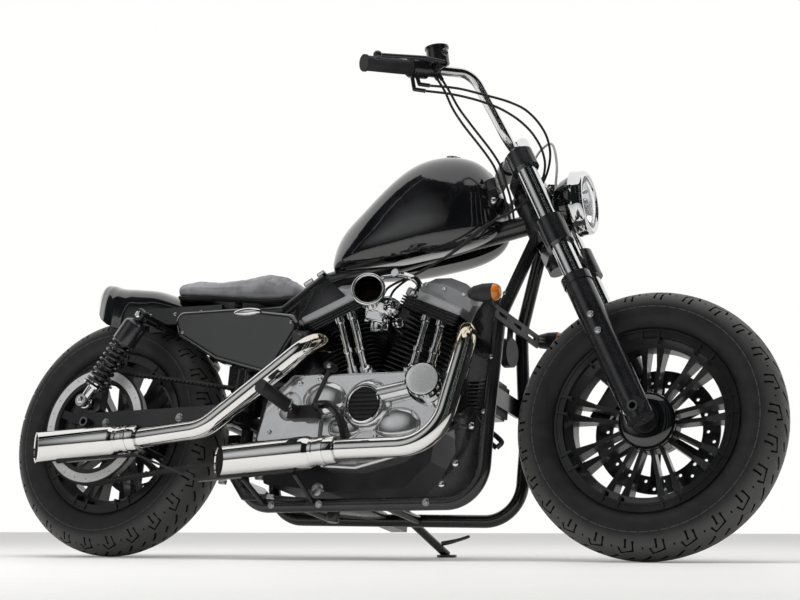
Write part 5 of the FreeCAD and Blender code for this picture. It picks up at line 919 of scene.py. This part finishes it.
# %% fender
CROWN = [(298, 640), (250, 662), (180, 691), (100, 719), (30, 730)]
CROWN += [(-30, 738), (-70, 750), (-96, 753), (-118, 738)]
EDGE = [(298, 601), (60, 601), (0, 604), (-40, 618)]
EDGE += [(-74, 640), (-96, 668), (-110, 696), (-118, 722)]
HALF = [(298, 97.5), (100, 97.5), (20, 96), (-30, 90)]
HALF += [(-60, 82), (-86, 68), (-106, 48), (-118, 24)]
FENDER_ARCH, SHOULDER = 40, 0.62


def along_table(table, x):
    """A value from a table of (x, value) pairs, with straight steps between them."""
    for (xa, va), (xb, vb) in zip(table, table[1:]):
        if xb <= x <= xa:
            return va + (vb - va) * (xa - x) / (xa - xb)
    return table[-1][1]


arches = []
for spot in curve_through([mm(x, 0, z) for x, z in CROWN], 7):
    x = spot.x * 1000
    low, half = along_table(EDGE, x), along_table(HALF, x)
    for k in range(FENDER_ARCH + 1):
        t = math.pi * (k / FENDER_ARCH - 0.5)
        across = math.copysign(abs(math.sin(t)) ** SHOULDER, t) * half
        arches.append(mm(x, across, low + (spot.z * 1000 - low) * abs(math.cos(t)) ** SHOULDER))
wide = FENDER_ARCH + 1
starts = [i for i in range(len(arches) - wide) if i % wide < FENDER_ARCH]
mesh = bpy.data.meshes.new("fender")
mesh.from_pydata(arches, [], [(i, i + 1, i + wide + 1, i + wide) for i in starts])
fender = weld(linked("fender", mesh), 0.00001)
if max(fender.data.polygons, key=lambda f: f.center.z).normal.z < 0:
    fender.data.flip_normals()
apply(fender, "SOLIDIFY", thickness=0.0032, offset=-1.0)
settle(fender, "fender_shell", lacquer, replaces=["rear_fender"], angle=50)

# %% [markdown]
# ## Seat
# The cushion starts as a copy of the CAD cushion, is remeshed evenly and blown up a little by a
# cloth simulation, so that its skin swells between its fixed lower edge as a filled cover does.
# The pleats are pressed in afterwards, deepest at the seams.

# %% seat
PUFF, CLOTH_FRAMES = 0.0045, 20
PLEAT_PITCH, PLEAT_DEPTH, PLEAT_HALF, PLEAT_RISE = 0.027, 0.0026, 0.0036, 0.0015
PLEATS_FROM, PLEATS_TO, PLEATS_WIDE = 0.20, 0.50, 0.108
cushion = weld(node_copy("seat_cushion"), 0.00005, False)
apply(cushion, "REMESH", mode="VOXEL", voxel_size=0.005)
to_upright = FRAME_AT.inverted()
before = [v.co.copy() for v in cushion.data.vertices]
fixed = cushion.vertex_groups.new(name="fixed")
for vertex in cushion.data.vertices:
    down = (to_upright.to_3x3() @ vertex.normal).z
    fixed.add([vertex.index], 1.0 if down < -0.3 else 0.0, "REPLACE")
only(cushion)
cloth = cushion.modifiers.new("cloth", "CLOTH")
cloth.settings.vertex_group_mass = "fixed"
cloth.settings.use_pressure = True
cloth.settings.uniform_pressure_force = 4.0
cloth.settings.effector_weights.gravity = 0.0
cloth.settings.quality = 5
cloth.settings.tension_stiffness = 15
cloth.point_cache.frame_end = CLOTH_FRAMES
for number in range(1, CLOTH_FRAMES + 1):
    bpy.context.scene.frame_set(number)
bpy.ops.object.modifier_apply(modifier=cloth.name)
for vertex, old in zip(cushion.data.vertices, before):
    move = vertex.co - old
    if move.length > PUFF:
        vertex.co = old + move * (PUFF / move.length)
bpy.context.scene.frame_set(1)
apply(cushion, "SUBSURF", levels=1, render_levels=1)
cushion.data.transform(to_upright)
for vertex in cushion.data.vertices:
    spot = vertex.co
    if vertex.normal.z > 0.1 and PLEATS_FROM < spot.x < PLEATS_TO:
        run = abs((spot.x - PLEATS_FROM) % PLEAT_PITCH - PLEAT_PITCH / 2)
        press = max(0.0, 1 - run / PLEAT_HALF) ** 1.5
        edge = min(1.0, max(0.0, (PLEATS_WIDE - abs(spot.y)) / 0.02))
        spot.z += (PLEAT_RISE * (1 - press) - PLEAT_DEPTH * press) * edge
settle(cushion, "seat_pad", leather, replaces=["seat_cushion"], angle=60)

# %% [markdown]
# ## Shock absorbers
# Each shock is an oil-filled tube inside an open coil spring. The spring is one wire wound up a
# helix; its ends sit on a lower seat and inside the black cover at the top.

# %% shocks
SHOCK_FOOT, SHOCK_HEAD = mm(-3, 182, 376), mm(146, 182, 602)
COILS, COIL_STEPS, WIRE_R, COIL_R = 9, 20, 0.0044, 0.0255
SPRING_FROM, SPRING_LONG = 0.056, 0.134
SHOCK_END = [(0, 8), (12, 8), (14, 14), (14, 44), (30, 47)]
SHOCK_END += [(30.5, 52), (24, 54), (18, 56), (18, 60), (0, 60)]
EYE = [(9, 15), (16, 15), (17.5, 12), (17.5, 5), (15.5, 4)]
EYE = [(r, -a) for r, a in EYE] + EYE[::-1]
EYE_BOLT = [(0, 19), (6, 19), (9.5, 17), (9.5, -17), (6, -19), (0, -19)]
SHOCK_COVER = [(0, 184), (29, 184), (31.5, 187), (31.5, 240), (29, 246), (20, 252), (13, 256), (0, 256)]
RIB, RIB_PITCH = ((15.5, 58), (17.5, 60), (17.5, 65), (15.5, 67)), 11
RIBS = [(r, a + RIB_PITCH * k) for k in range(12) for r, a in RIB]
shock = SHOCK_HEAD - SHOCK_FOOT
bodies, springs, covers = [], [], []
for side in (-1, 1):
    foot = Vector((SHOCK_FOOT.x, side * SHOCK_FOOT.y, SHOCK_FOOT.z))
    bodies.append(turned(SHOCK_END, foot, shock))
    for end, group in ((foot, bodies), (foot + shock, covers)):
        group.append(turned(EYE, end, SIDEWAYS, closed=True))
        bodies.append(turned(EYE_BOLT, end, SIDEWAYS, 6))
    springs.append(turned([(0, 58), *RIBS, (0, 190)], foot, shock))
    helix = []
    for i in range(COILS * COIL_STEPS + 1):
        t = i / COIL_STEPS * math.tau
        rise = SPRING_FROM + SPRING_LONG * i / (COILS * COIL_STEPS)
        helix.append(placed(foot, shock) @ Vector((COIL_R * math.cos(t), COIL_R * math.sin(t), rise)))
    springs.append(tube(helix, WIRE_R, 2))
    covers.append(turned(SHOCK_COVER, foot, shock, 40))
settle(bodies, "shock_bodies", chrome, replaces=["rear_shocks"])
settle(springs, "shock_springs", part_black, angle=40)
settle(covers, "shock_covers", part_black)

# %% [markdown]
# ## Lamps
# Behind the headlight glass lies a pressed reflector with a bulb shield; a chrome ring holds the
# glass. The signals are bullets with an amber lens that screws into the front.

# %% headlight and signals
LAMP = mm(1306, 0, 889)
LAMP_TILT = math.radians(6)
LAMP_AXIS = Vector((math.cos(LAMP_TILT), 0, math.sin(LAMP_TILT)))
BOWL = [(63, -3), (58, -16), (48, -32), (34, -45), (16, -52), (0, -53)]
BOWL += [(0, -55), (17, -54), (35.5, -47), (50, -33.5), (60, -17), (64, -4)]
SHIELD = [(0, 2), (7, 0), (11, -6), (12, -16), (10, -30), (6, -44), (0, -50)]
RIM = [(63.5, -2), (63.5, 3), (66, 6.5), (71, 8), (76, 6.5), (79, 2), (79.6, -6), (79.6, -19)]
RIM += [(82, -22), (82, -27), (78.4, -28), (78.4, -1)]
SIGNAL_LENS = [(0, 44.5), (8, 44), (15, 41), (19, 36.5), (20.8, 31), (20.8, 29), (0, 29)]
settle(turned(BOWL, LAMP, LAMP_AXIS, 48), "lamp_reflector", chrome, "steering", angle=50)
settle(turned(SHIELD, LAMP, LAMP_AXIS, 28), "lamp_bulb_shield", steel, "steering", angle=50)
settle(turned(RIM, LAMP, LAMP_AXIS, 64, closed=True), "lamp_ring", chrome, "steering", angle=40)
lenses = [turned(SIGNAL_LENS, mm(1144, side * 200, 597), (1, 0, 0), 32) for side in (-1, 1)]
settle(lenses, "signal_lenses", amber_lens, angle=45)

# %% [markdown]
# ## Engine trim
# Tappet blocks carry the pushrod tubes, a chromed bracket arches from the intake to the front
# head, and the carburettor shows its bowl and cap below the horn.

# %% engine trim
tappets = [chunk((84, 44, 40), mm(792, -106, 414), math.radians(-22), 0.004)]
tappets.append(chunk((84, 44, 40), mm(950, -106, 424), math.radians(4), 0.004))
tappets.append(chunk((40, 30, 26), mm(862, -108, 404), 0.3, 0.004))
settle(tappets, "tappet_blocks", polished)
TUBE_FOOT = [(0, -8), (15, -8), (17.5, -5), (17.5, 3), (15, 6), (13, 12), (12.5, 16), (0, 16)]
feet = []
for x, z, lean in ((771, 421, -23.4), (808, 439, -23.4), (927, 440, 8.5), (974, 440, 7.0)):
    axis = (math.sin(math.radians(lean)), 0.08, math.cos(math.radians(lean)))
    feet.append(turned(TUBE_FOOT, mm(x, -112, z), axis, 28))
settle(feet, "pushrod_feet", chrome)
arch = path((829, -150, 622), (812, -142, 652), (830, -136, 678), (872, -132, 684))
arch += path((912, -130, 674), (934, -128, 652), (922, -128, 632))
bracket = [rod(arch, 0.0085)]
bracket.append(turned([(0, -12), (9, -9), (12.5, 0), (9, 9), (0, 12)], arch[-1], (0, 1, 0), 24))
bracket.append(turned([(0, 8), (10, 7), (11, 2), (11, -3), (0, -3)], mm(872, -141, 684), FACING_RIGHT, 20))
settle(bracket, "intake_bracket", chrome, angle=45)
FLOAT_BOWL = [(0, -34), (16, -33), (24, -28), (26, -20), (26, 4), (30, 6), (30, 12), (0, 12)]
SIDE_CAP = [(0, 20), (12, 19), (19, 14), (21, 6), (25, 4), (25, -6), (0, -6)]
FRONT_CAP = [(0, 10), (8, 9), (10, 4), (14, 3), (14, -4), (0, -4)]
carb = [turned(FLOAT_BOWL, mm(838, -130, 566), UPWARDS, 32)]
carb.append(turned(SIDE_CAP, mm(868, -136, 596), (1, -0.35, 0), 32))
carb.append(turned(FRONT_CAP, mm(884, -128, 560), (0.8, -0.6, 0), 24))
carb.append(chunk((54, 14, 26), mm(842, -166, 566), 0.25, 0.005))
settle(carb, "carburettor_trim", chrome)
HORN_MOUTH, HORN_FACING = mm(849, -230, 616), (0.35, -0.93, 0.05)
LIP = [(34.2, -1), (35.5, 2), (38, 3.2), (41, 1.6), (42.2, -3)]
LIP += [(40, -8), (36.5, -12), (35.2, -10), (34.6, -4)]
THROAT = [(31.2, -2), (28, -12), (23.5, -25), (18.6, -40), (17.6, -55), (0, -55)]
THROAT += [(0, -56), (18, -56), (19, -40), (24, -25), (28.4, -12), (31.8, -2)]
settle(turned(LIP, HORN_MOUTH, HORN_FACING, 56, closed=True), "horn_lip", chrome, angle=60)
settle(turned(THROAT, HORN_MOUTH, HORN_FACING, 48), "horn_throat", brown_metal, angle=60)

# %% [markdown]
# ## Mufflers
# Each muffler is a sleeve that widens into a can with a slanted tip. The can and the soot-black
# liner inside it are turned from a profile and cut by one slanted plane each; the two walls of
# the can are then bridged at the cut.

# %% mufflers
PIPE_R, SLEEVE_R, CAN_R, CAN_WALL = 25.6, 34, 40, 2.4
BAND_R, BORE_R = SLEEVE_R + 2.6, CAN_R - CAN_WALL
SLEEVE = [(PIPE_R, -2), (SLEEVE_R - 2, -2), (SLEEVE_R, 1), (SLEEVE_R, 52), (SLEEVE_R + 1.5, 54)]
SLEEVE += [(SLEEVE_R + 1.5, 62), (SLEEVE_R, 64), (CAN_R - 1, 74), (CAN_R, 78)]
CLAMP = [(BAND_R, 24), (BAND_R, 36), (SLEEVE_R - 1, 36), (SLEEVE_R - 1, 24)]
CANS = [path((206, -200, 267), (-155, -200, 247)), path((790, -200, 226), (425, -200, 200))]
SLASH = Vector((-0.70, -0.70, -0.12)).normalized()


def slashed(piece, at):
    """What is left of a piece after the slanted cut at a muffler's tip."""
    edit(piece)
    bpy.ops.mesh.select_all(action="SELECT")
    bpy.ops.mesh.bisect(plane_co=at, plane_no=SLASH, use_fill=False, clear_outer=True)
    done()
    return piece


cans, liners = [], []
for front, rear in CANS:
    axis, long = (rear - front).normalized(), (rear - front).length * 1000 + 30
    wall = [*SLEEVE, (CAN_R, long), (BORE_R, long), (BORE_R, 84), (PIPE_R, 76)]
    can = slashed(turned(wall, front, axis, 56, closed=True), rear - axis * 0.032)
    edit(can)
    bpy.ops.mesh.select_non_manifold(extend=False)
    bpy.ops.mesh.bridge_edge_loops()
    done()
    cans += [can, turned(CLAMP, front, axis, 40, closed=True)]
    bore = BORE_R - 0.2
    liner = [(0, 82), (bore, 82), (bore, long), (bore - 1, long), (bore - 1, 84), (0, 84)]
    liners.append(slashed(turned(liner, front, axis, 40), rear - axis * 0.036))
settle(cans, "muffler_cans", pipe_chrome, replaces=["mufflers"], angle=35)
settle(liners, "muffler_liners", soot, angle=35)

# %% [markdown]
# ### The rounded castings
# Rocker boxes are cast, so their edges are generously rounded. A copy of the CAD solid is merged,
# its flat faces are joined up and its edges bevelled. The polished case has swelling lobes round
# its shafts; each is a low turned dome or a half-sunk barrel, and catches light like the real one.

# %% castings
rockers = node_copy("rocker_boxes")
rockers.data.transform(FRAME_AT.inverted())
weld(rockers, 0.00002, False)
edit(rockers)
bpy.ops.mesh.select_all(action="SELECT")
bpy.ops.mesh.dissolve_limited(angle_limit=math.radians(1.5))
bpy.ops.mesh.select_all(action="SELECT")
bpy.ops.mesh.normals_make_consistent(inside=False)
done()
bevel(rockers, 0.009, 3, 22)
settle(rockers, "rocker_castings", silver, replaces=["rocker_boxes"], angle=40)
CRANK, BANKS = mm(815, 0, 267), (-22.5, 22.5)
fins, bands = [], []
for bank in BANKS:
    tilt = math.radians(bank)
    up_bank = Vector((math.sin(tilt), 0, math.cos(tilt)))
    for height in (345, 352.5, 360, 367.5):
        fins.append(chunk((171, 203, 2.8), CRANK + up_bank * height / 1000, tilt, 0.0010, 0.004))
    bands.append(chunk((170, 201, 23), CRANK + up_bank * 0.3825, tilt, 0.005, 0.006))
settle(fins, "head_fins", part_black, angle=35)
settle(bands, "head_bands", silver, angle=40)

# %% forms on the gearcase cover
CASE_FACE = -138.6
TIMER_AT = mm(827, CASE_FACE, 348)
# Each lobe: x, z, radius, rise, and how much it is stretched along x and z
LOBES = [(704, 368, 48, 20, 1.3, 0.95), (914, 300, 50, 16, 1.25, 0.85)]
LOBES += [(612, 352, 44, 12, 1.1, 1.2), (770, 296, 36, 12, 1.3, 0.9)]
TIMER_SEAT = [(44.5, 0), (44.5, 17), (50, 18), (56, 14), (66, 3), (68, -2), (44.5, -2)]
TIMER_RING = [(40.5, 15), (41.5, 22), (44, 24), (47, 23), (49, 19), (49, 12), (40.5, 12)]
lobes = []
for x, z, radius, rise, long, tall in LOBES:
    arc = [math.radians(9 * k) for k in range(11)]
    line = [(radius * math.sin(t), rise * math.cos(t)) for t in arc]
    lobe = turned(line + [(radius, -2), (0, -2)], Vector(), FACING_RIGHT, 48)
    lobe.data.transform(Matrix.Translation(mm(x, CASE_FACE, z)) @ Matrix.Diagonal((long, 1, tall, 1)))
    lobes.append(lobe)
lobes.append(tube(path((862, CASE_FACE, 372), (972, CASE_FACE, 392)), 0.024, 8))
lobes.append(turned(TIMER_SEAT, TIMER_AT, FACING_RIGHT, 60, closed=True))
settle(lobes, "case_lobes", polished, angle=50)
settle(turned(TIMER_RING, TIMER_AT, FACING_RIGHT, 60, closed=True), "timer_ring", chrome, angle=45)
FILTER_AXIS = Vector((0.25, -1, 0)).normalized()
FILTER_FACE = [(0, 2.4), (14, 2.2), (28, 1.5), (36, 0.6), (38.5, -0.6), (38.5, -3), (0, -3)]
filter_end = mm(985, CASE_FACE, 394) + FILTER_AXIS * 0.0605
settle(turned(FILTER_FACE, filter_end, FILTER_AXIS, 48), "filter_face", satin_face, angle=60)

# %% [markdown]
# ## Brackets and small hardware
# The dark places between frame and engine are full of plates, tubes and boxes. The ones that
# the photograph shows are built where they are seen, each against the tube that carries it.

# %% hardware on the frame
# Plates: an outline of (x, z) pairs, the middle in y and the thickness, all in mm
GUSSET = [(985, 128), (1096, 132), (1122, 205), (1124, 300)]
GUSSET += [(1090, 350), (1046, 322), (1058, 236), (1030, 180)]
TRAY = [(428, 180), (470, 128), (604, 116), (760, 106), (806, 110)]
TRAY += [(806, 124), (604, 136), (486, 146), (440, 190)]
MOUNT = [(1042, 850), (1066, 846), (1098, 900), (1088, 922), (1052, 908)]
GUARD = [(352, 440), (350, 560), (420, 600), (600, 590), (660, 540), (660, 420), (560, 356), (420, 352)]
BETWEEN_BANKS = [(770, 430), (770, 650), (800, 662), (930, 662), (960, 640), (960, 430)]
BEHIND_PIPE = [(1004, 318), (1010, 500), (1046, 600), (1070, 640), (1116, 640), (1116, 318)]
UNDER_NOSE = [(556, 566), (548, 640), (596, 690), (640, 706), (688, 664), (700, 604), (676, 566)]
PLATES = [(GUSSET, -102, 5), (TRAY, -24, 150), (MOUNT, -60, 5), (GUARD, -46, 5)]
PLATES += [(BETWEEN_BANKS, 30, 4), (BEHIND_PIPE, -34, 4), (UNDER_NOSE, -68, 4)]
KNOB = [(0, 9), (11, 8), (14, 5), (14, -8), (0, -8)]
STUB = [(0, -20), (14, -20), (16, -16), (16, 14), (0, 14)]
parts = [plate(*each) for each in PLATES]
parts.append(chunk((28, 36, 36), mm(1072, -42, 932), -0.3, 0.004))
parts.append(chunk((48, 34, 50), mm(622, -138, 522), 0.12, 0.008))
parts.append(turned(KNOB, mm(622, -156, 522), FACING_RIGHT, 28))
parts.append(rod(path((686, -152, 352), (726, -156, 350), (762, -157, 318), (784, -154, 262)), 0.0105))
for d in (0, 26):
    bend = path((1030, -104, 318 - d), (1070, -102, 326 - d), (1112, -88, 306 - d), (1148, -70, 280 - d))
    parts.append(rod(bend, 0.0062))
parts.append(rod(path((1148, -70, 280), (1158, -66, 268), (1148, -70, 254)), 0.0062))
parts.append(turned(STUB, mm(694, -20, 106), UPWARDS, 24))
parts += [chunk((46, 92, 3.6), mm(1071, -4, 350 + i * 9.5), 0, 0.0008, 0.002) for i in range(9)]
parts.append(chunk((40, 84, 92), mm(1094, -4, 390), 0, 0.003))
settle(parts, "frame_hardware", part_black, angle=35)
tabs = [chunk((22, 8, 12), mm(x, -168, z), 0.1, 0.002) for x, z in ((455, 158), (560, 168), (600, 120))]
TAB_NUT = [(0, 8), (10, 7), (12, 3), (16, 2), (16, -4), (0, -4)]
tabs.append(turned(TAB_NUT, mm(700, -118, 148), FACING_RIGHT, 24))
settle(tabs, "zinc_tabs", zinc)

# %% chromed trim on the frame
STUD = [(0, 6), (5, 5.6), (8.5, 3), (9.5, 0), (9.5, -3), (0, -3)]
STUDS = path((1062, -105, 210), (1030, -105, 160), (1096, -105, 300), (1084, -63, 886))
domes = [turned(STUD, at, FACING_RIGHT, 20) for at in STUDS]
filler = turned([(0, 7), (14, 6.4), (24, 4), (30, 0), (30, -4), (0, -4)], Vector(), FACING_RIGHT, 32)
filler.data.transform(Matrix.Translation(mm(456, -153, 605)) @ Matrix.Diagonal((1.35, 1, 0.36, 1)))
domes.append(filler)
domes.append(turned([(0, 6), (6, 5), (8, 0), (8, -3), (0, -3)], mm(640, -72, 604), FACING_RIGHT, 20))
PEG_CLAMP = [(13, -8), (16, -8), (17, -6), (17, 6), (16, 8), (13, 8)]
domes.append(turned(PEG_CLAMP, mm(640, -206, 342), (0, -1, 0.12), 28, closed=True))
domes.append(chunk((30, 22, 14), mm(556, -26, 716), -0.5, 0.003))
domes.append(chunk((24, 26, 12), mm(590, -24, 738), -0.5, 0.003))
FUEL_CAP = [(0, 5), (18, 4.6), (26, 3), (29, 0), (29, -6), (0, -6)]
domes.append(turned(FUEL_CAP, *seat_on("fuel_tank", "frame", mm(935, 0, 1200), DOWN), 40))
settle(domes, "chrome_domes", chrome, angle=40)

# %% hardware on the front end and the wheels
grey = path((1128, 62, 1034), (1148, 64, 1072), (1178, 60, 1084), (1199, 50, 1021), (1209, 30, 943))
settle(rod(grey + path((1228, 12, 906)), 0.0032), "lamp_cable", grey_sleeve, "steering", angle=60)
WINDOW = [(0, 1.2), (6.5, 1), (8, 3), (9.5, 2), (9.5, -2), (0, -2)]
corners = [FRONT_AT.inverted() @ v.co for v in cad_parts["hand_controls"].data.vertices]
crest = max(c.z for c in corners)
lid = [c for c in corners if c.z > crest - 0.004]
cup_at = sum(lid, Vector()) / len(lid) - mm(0, 0, 26)
print("the reservoir's cup is about", [round(c, 3) for c in cup_at])
window_at = seat_on("hand_controls", "steering", cup_at, (-0.45, 0.89, 0)) or (cup_at, -SIDEWAYS)
settle(turned(WINDOW, *window_at, 24), "reservoir_window", steel, "steering")
VALVE = [(0, 0), (5, 0), (5, 8), (3.2, 10), (3.2, 26), (4.4, 27), (4.4, 33), (3, 35), (0, 35)]
VALVE_ANGLE, WELL_R = math.radians(200), 0.1838
out = Vector((math.cos(VALVE_ANGLE), 0, math.sin(VALVE_ANGLE)))
for end, hub in (("front", FRONT_HUB), ("rear", REAR_HUB)):
    settle(turned(VALVE, hub + out * WELL_R, -out, 20), "valve_" + end, grip_rubber, end + "_wheel")
HUB_DOME = [(69.6, 18), (69.6, 30), (66, 39), (58, 46), (46, 50.5), (37, 52), (36.5, 50), (36.5, 20)]
cap = turned(HUB_DOME, FRONT_HUB, FACING_RIGHT, 56, closed=True)
settle(cap, "hub_dome_front", lacquer, "front_wheel", angle=45)

# %% control cables
# The cables hang between the frame and the bars; a welded copy of the CAD node stands in for them, with its
# finish
cable_runs = weld(node_copy("control_cables"), 0.00002, False)
cable_runs.name = "cable_runs"
cable_runs.data.materials.clear()
cable_runs.data.materials.append(grip_rubber)
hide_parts("control_cables")
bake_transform(cable_runs)

# %% side stand
# The loop for the boot, from the foot of the stand outwards and back
LOOP = [(0, -0.012, 0.012), (0.035, -0.008, 0.016), (0.085, -0.004, 0.030), (0.10, -0.018, 0.034)]
LOOP += [(0.075, -0.026, 0.026), (0.03, -0.03, 0.018)]
stand_low, stand_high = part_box("side_stand")
foot = Vector((stand_low.x * 0.5 + stand_high.x * 0.5, stand_high.y - 0.03, stand_low.z + 0.02))
tang = rod([foot + Vector(step) for step in LOOP], 0.0038)
settle(tang, "stand_tang", part_black, "side_stand", angle=50)

# %% [markdown]
# ## Floor and light
# A plain pale floor, an even sky and two large soft lamps. Rays that come from the camera or a
# mirror see a white room, while the light itself stays at the level where a colour looks as it
# is written. A dark hood behind the camera, with a few bright slits and one soft grey screen,
# gives paint and chrome the dark bands and thin streaks that a real room would. The camera
# itself doesn't see it.

# %% floor and sky
FLOOR_HALF, SKY_LIGHT = 14.0, 0.62
deselect()
bpy.ops.mesh.primitive_plane_add(size=FLOOR_HALF * 2, location=(0, 0, 0))
floor = bpy.context.object
floor.name = "studio_floor"
floor_paint = Finish("floor_paint", (0.86, 0.855, 0.84), 0.0, 0.6)
mottle = floor_paint.noise(0.5, 5.0)
floor_paint.feed("Base Color", floor_paint.blend(mottle, (0.88, 0.875, 0.86), (0.82, 0.815, 0.80)))
floor.data.materials.append(floor_paint.material)
floor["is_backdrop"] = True

world = bpy.data.worlds.new("studio")
bpy.context.scene.world = world
world.use_nodes = True
tree = world.node_tree
ray = tree.nodes.new("ShaderNodeLightPath")
seen = ray.outputs["Is Camera Ray"]
for kind in ("Is Glossy Ray", "Is Transmission Ray"):
    either = tree.nodes.new("ShaderNodeMath")
    either.operation = "MAXIMUM"
    tree.links.new(seen, either.inputs[0])
    tree.links.new(ray.outputs[kind], either.inputs[1])
    seen = either.outputs[0]
strength = tree.nodes.new("ShaderNodeMapRange")
strength.inputs["To Min"].default_value = SKY_LIGHT
strength.inputs["To Max"].default_value = 1.0
tree.links.new(seen, strength.inputs["Value"])
tree.links.new(strength.outputs[0], tree.nodes["Background"].inputs["Strength"])
tree.nodes["Background"].inputs["Color"].default_value = (1.0, 0.998, 0.99, 1)


# %% lamps
def lamp(name, place, aim, size, power):
    """A large soft lamp aimed at a point, which mirrors don't show."""
    data = bpy.data.lights.new(name, "AREA")
    data.shape = "RECTANGLE"
    data.size, data.size_y = size
    data.energy = power
    made = linked(name, data)
    made.location = place
    made.rotation_euler = (Vector(aim) - Vector(place)).to_track_quat("-Z", "Y").to_euler()
    made.visible_glossy = False


lamp("lamp_above", (0.2, -0.6, 3.6), (0, 0, 0.3), (3.6, 2.2), 75.0)
lamp("lamp_right", (-1.6, -3.6, 2.3), (0, 0, 0.5), (1.6, 1.6), 45.0)

# %% the hood and the screen
HOOD_R, SCREEN_R = 5.5, 5.4
# Thin bright slits are left between these turns, in degrees from straight right to the front
HOOD_TURNS = [(-78, -58.8), (-58, 33), (33.9, 47), (47.7, 62), (62.9, 118)]
HOOD_HEIGHTS, SCREEN_HEIGHTS = (1, 64), (3, 55)
SCREEN_TURNS, SCREEN_MIDDLE = [(-54, -2)], (-28.0, 29.0)


def toward(turn, height):
    """The direction of a turn from straight right and a height, in degrees."""
    turn, height = math.radians(turn), math.radians(height)
    flat = math.cos(height)
    return Vector((math.sin(turn) * flat, -math.cos(turn) * flat, math.sin(height)))


def screen(name, finish, turns, radius, heights):
    """Parts of a sphere round the machine that only mirrors see."""
    low, high = heights
    gores = []
    for start, end in turns:
        line = [toward(start, low + (high - low) * i / 14) * radius for i in range(15)]
        gores.append(spun(line, (0, 0, 0), UPWARDS, 10, math.radians(start - end)))
    made = join(gores, name)
    made.data.materials.clear()
    made.data.materials.append(finish.material)
    made.visible_camera = made.visible_diffuse = made.visible_shadow = False
    made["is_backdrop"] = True


shade = Finish("screen_shade", (0.012, 0.016, 0.015), 0.0, 0.9, Specular_IOR_Level=0.0)
shade.feed("Roughness", 0.85 + shade.noise(0.5) * 0.1)
screen("dark_hood", shade, HOOD_TURNS, HOOD_R, HOOD_HEIGHTS)
glow = Finish("screen_glow", (0.05, 0.05, 0.05), 0.0, 0.9, Specular_IOR_Level=0.0, Emission_Strength=1.0)
heart = toward(*SCREEN_MIDDLE).to_track_quat("Y", "Z").to_matrix().to_4x4()
fade = glow.radius(heart).step(0.9, 2.3)
lit = glow.blend(glow.noise(1.2, 3.0), (0.46, 0.47, 0.47), (0.60, 0.61, 0.61))
glow.feed("Emission Color", glow.blend(1 - fade, (0.008, 0.010, 0.010), lit))
screen("grey_screen", glow, SCREEN_TURNS, SCREEN_R, SCREEN_HEIGHTS)
bpy.context.scene.view_settings.view_transform = "Standard"

# %% the overall size, and the close
for head in MODEL_HEADS.values():
    bpy.data.objects.remove(head)
low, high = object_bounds()
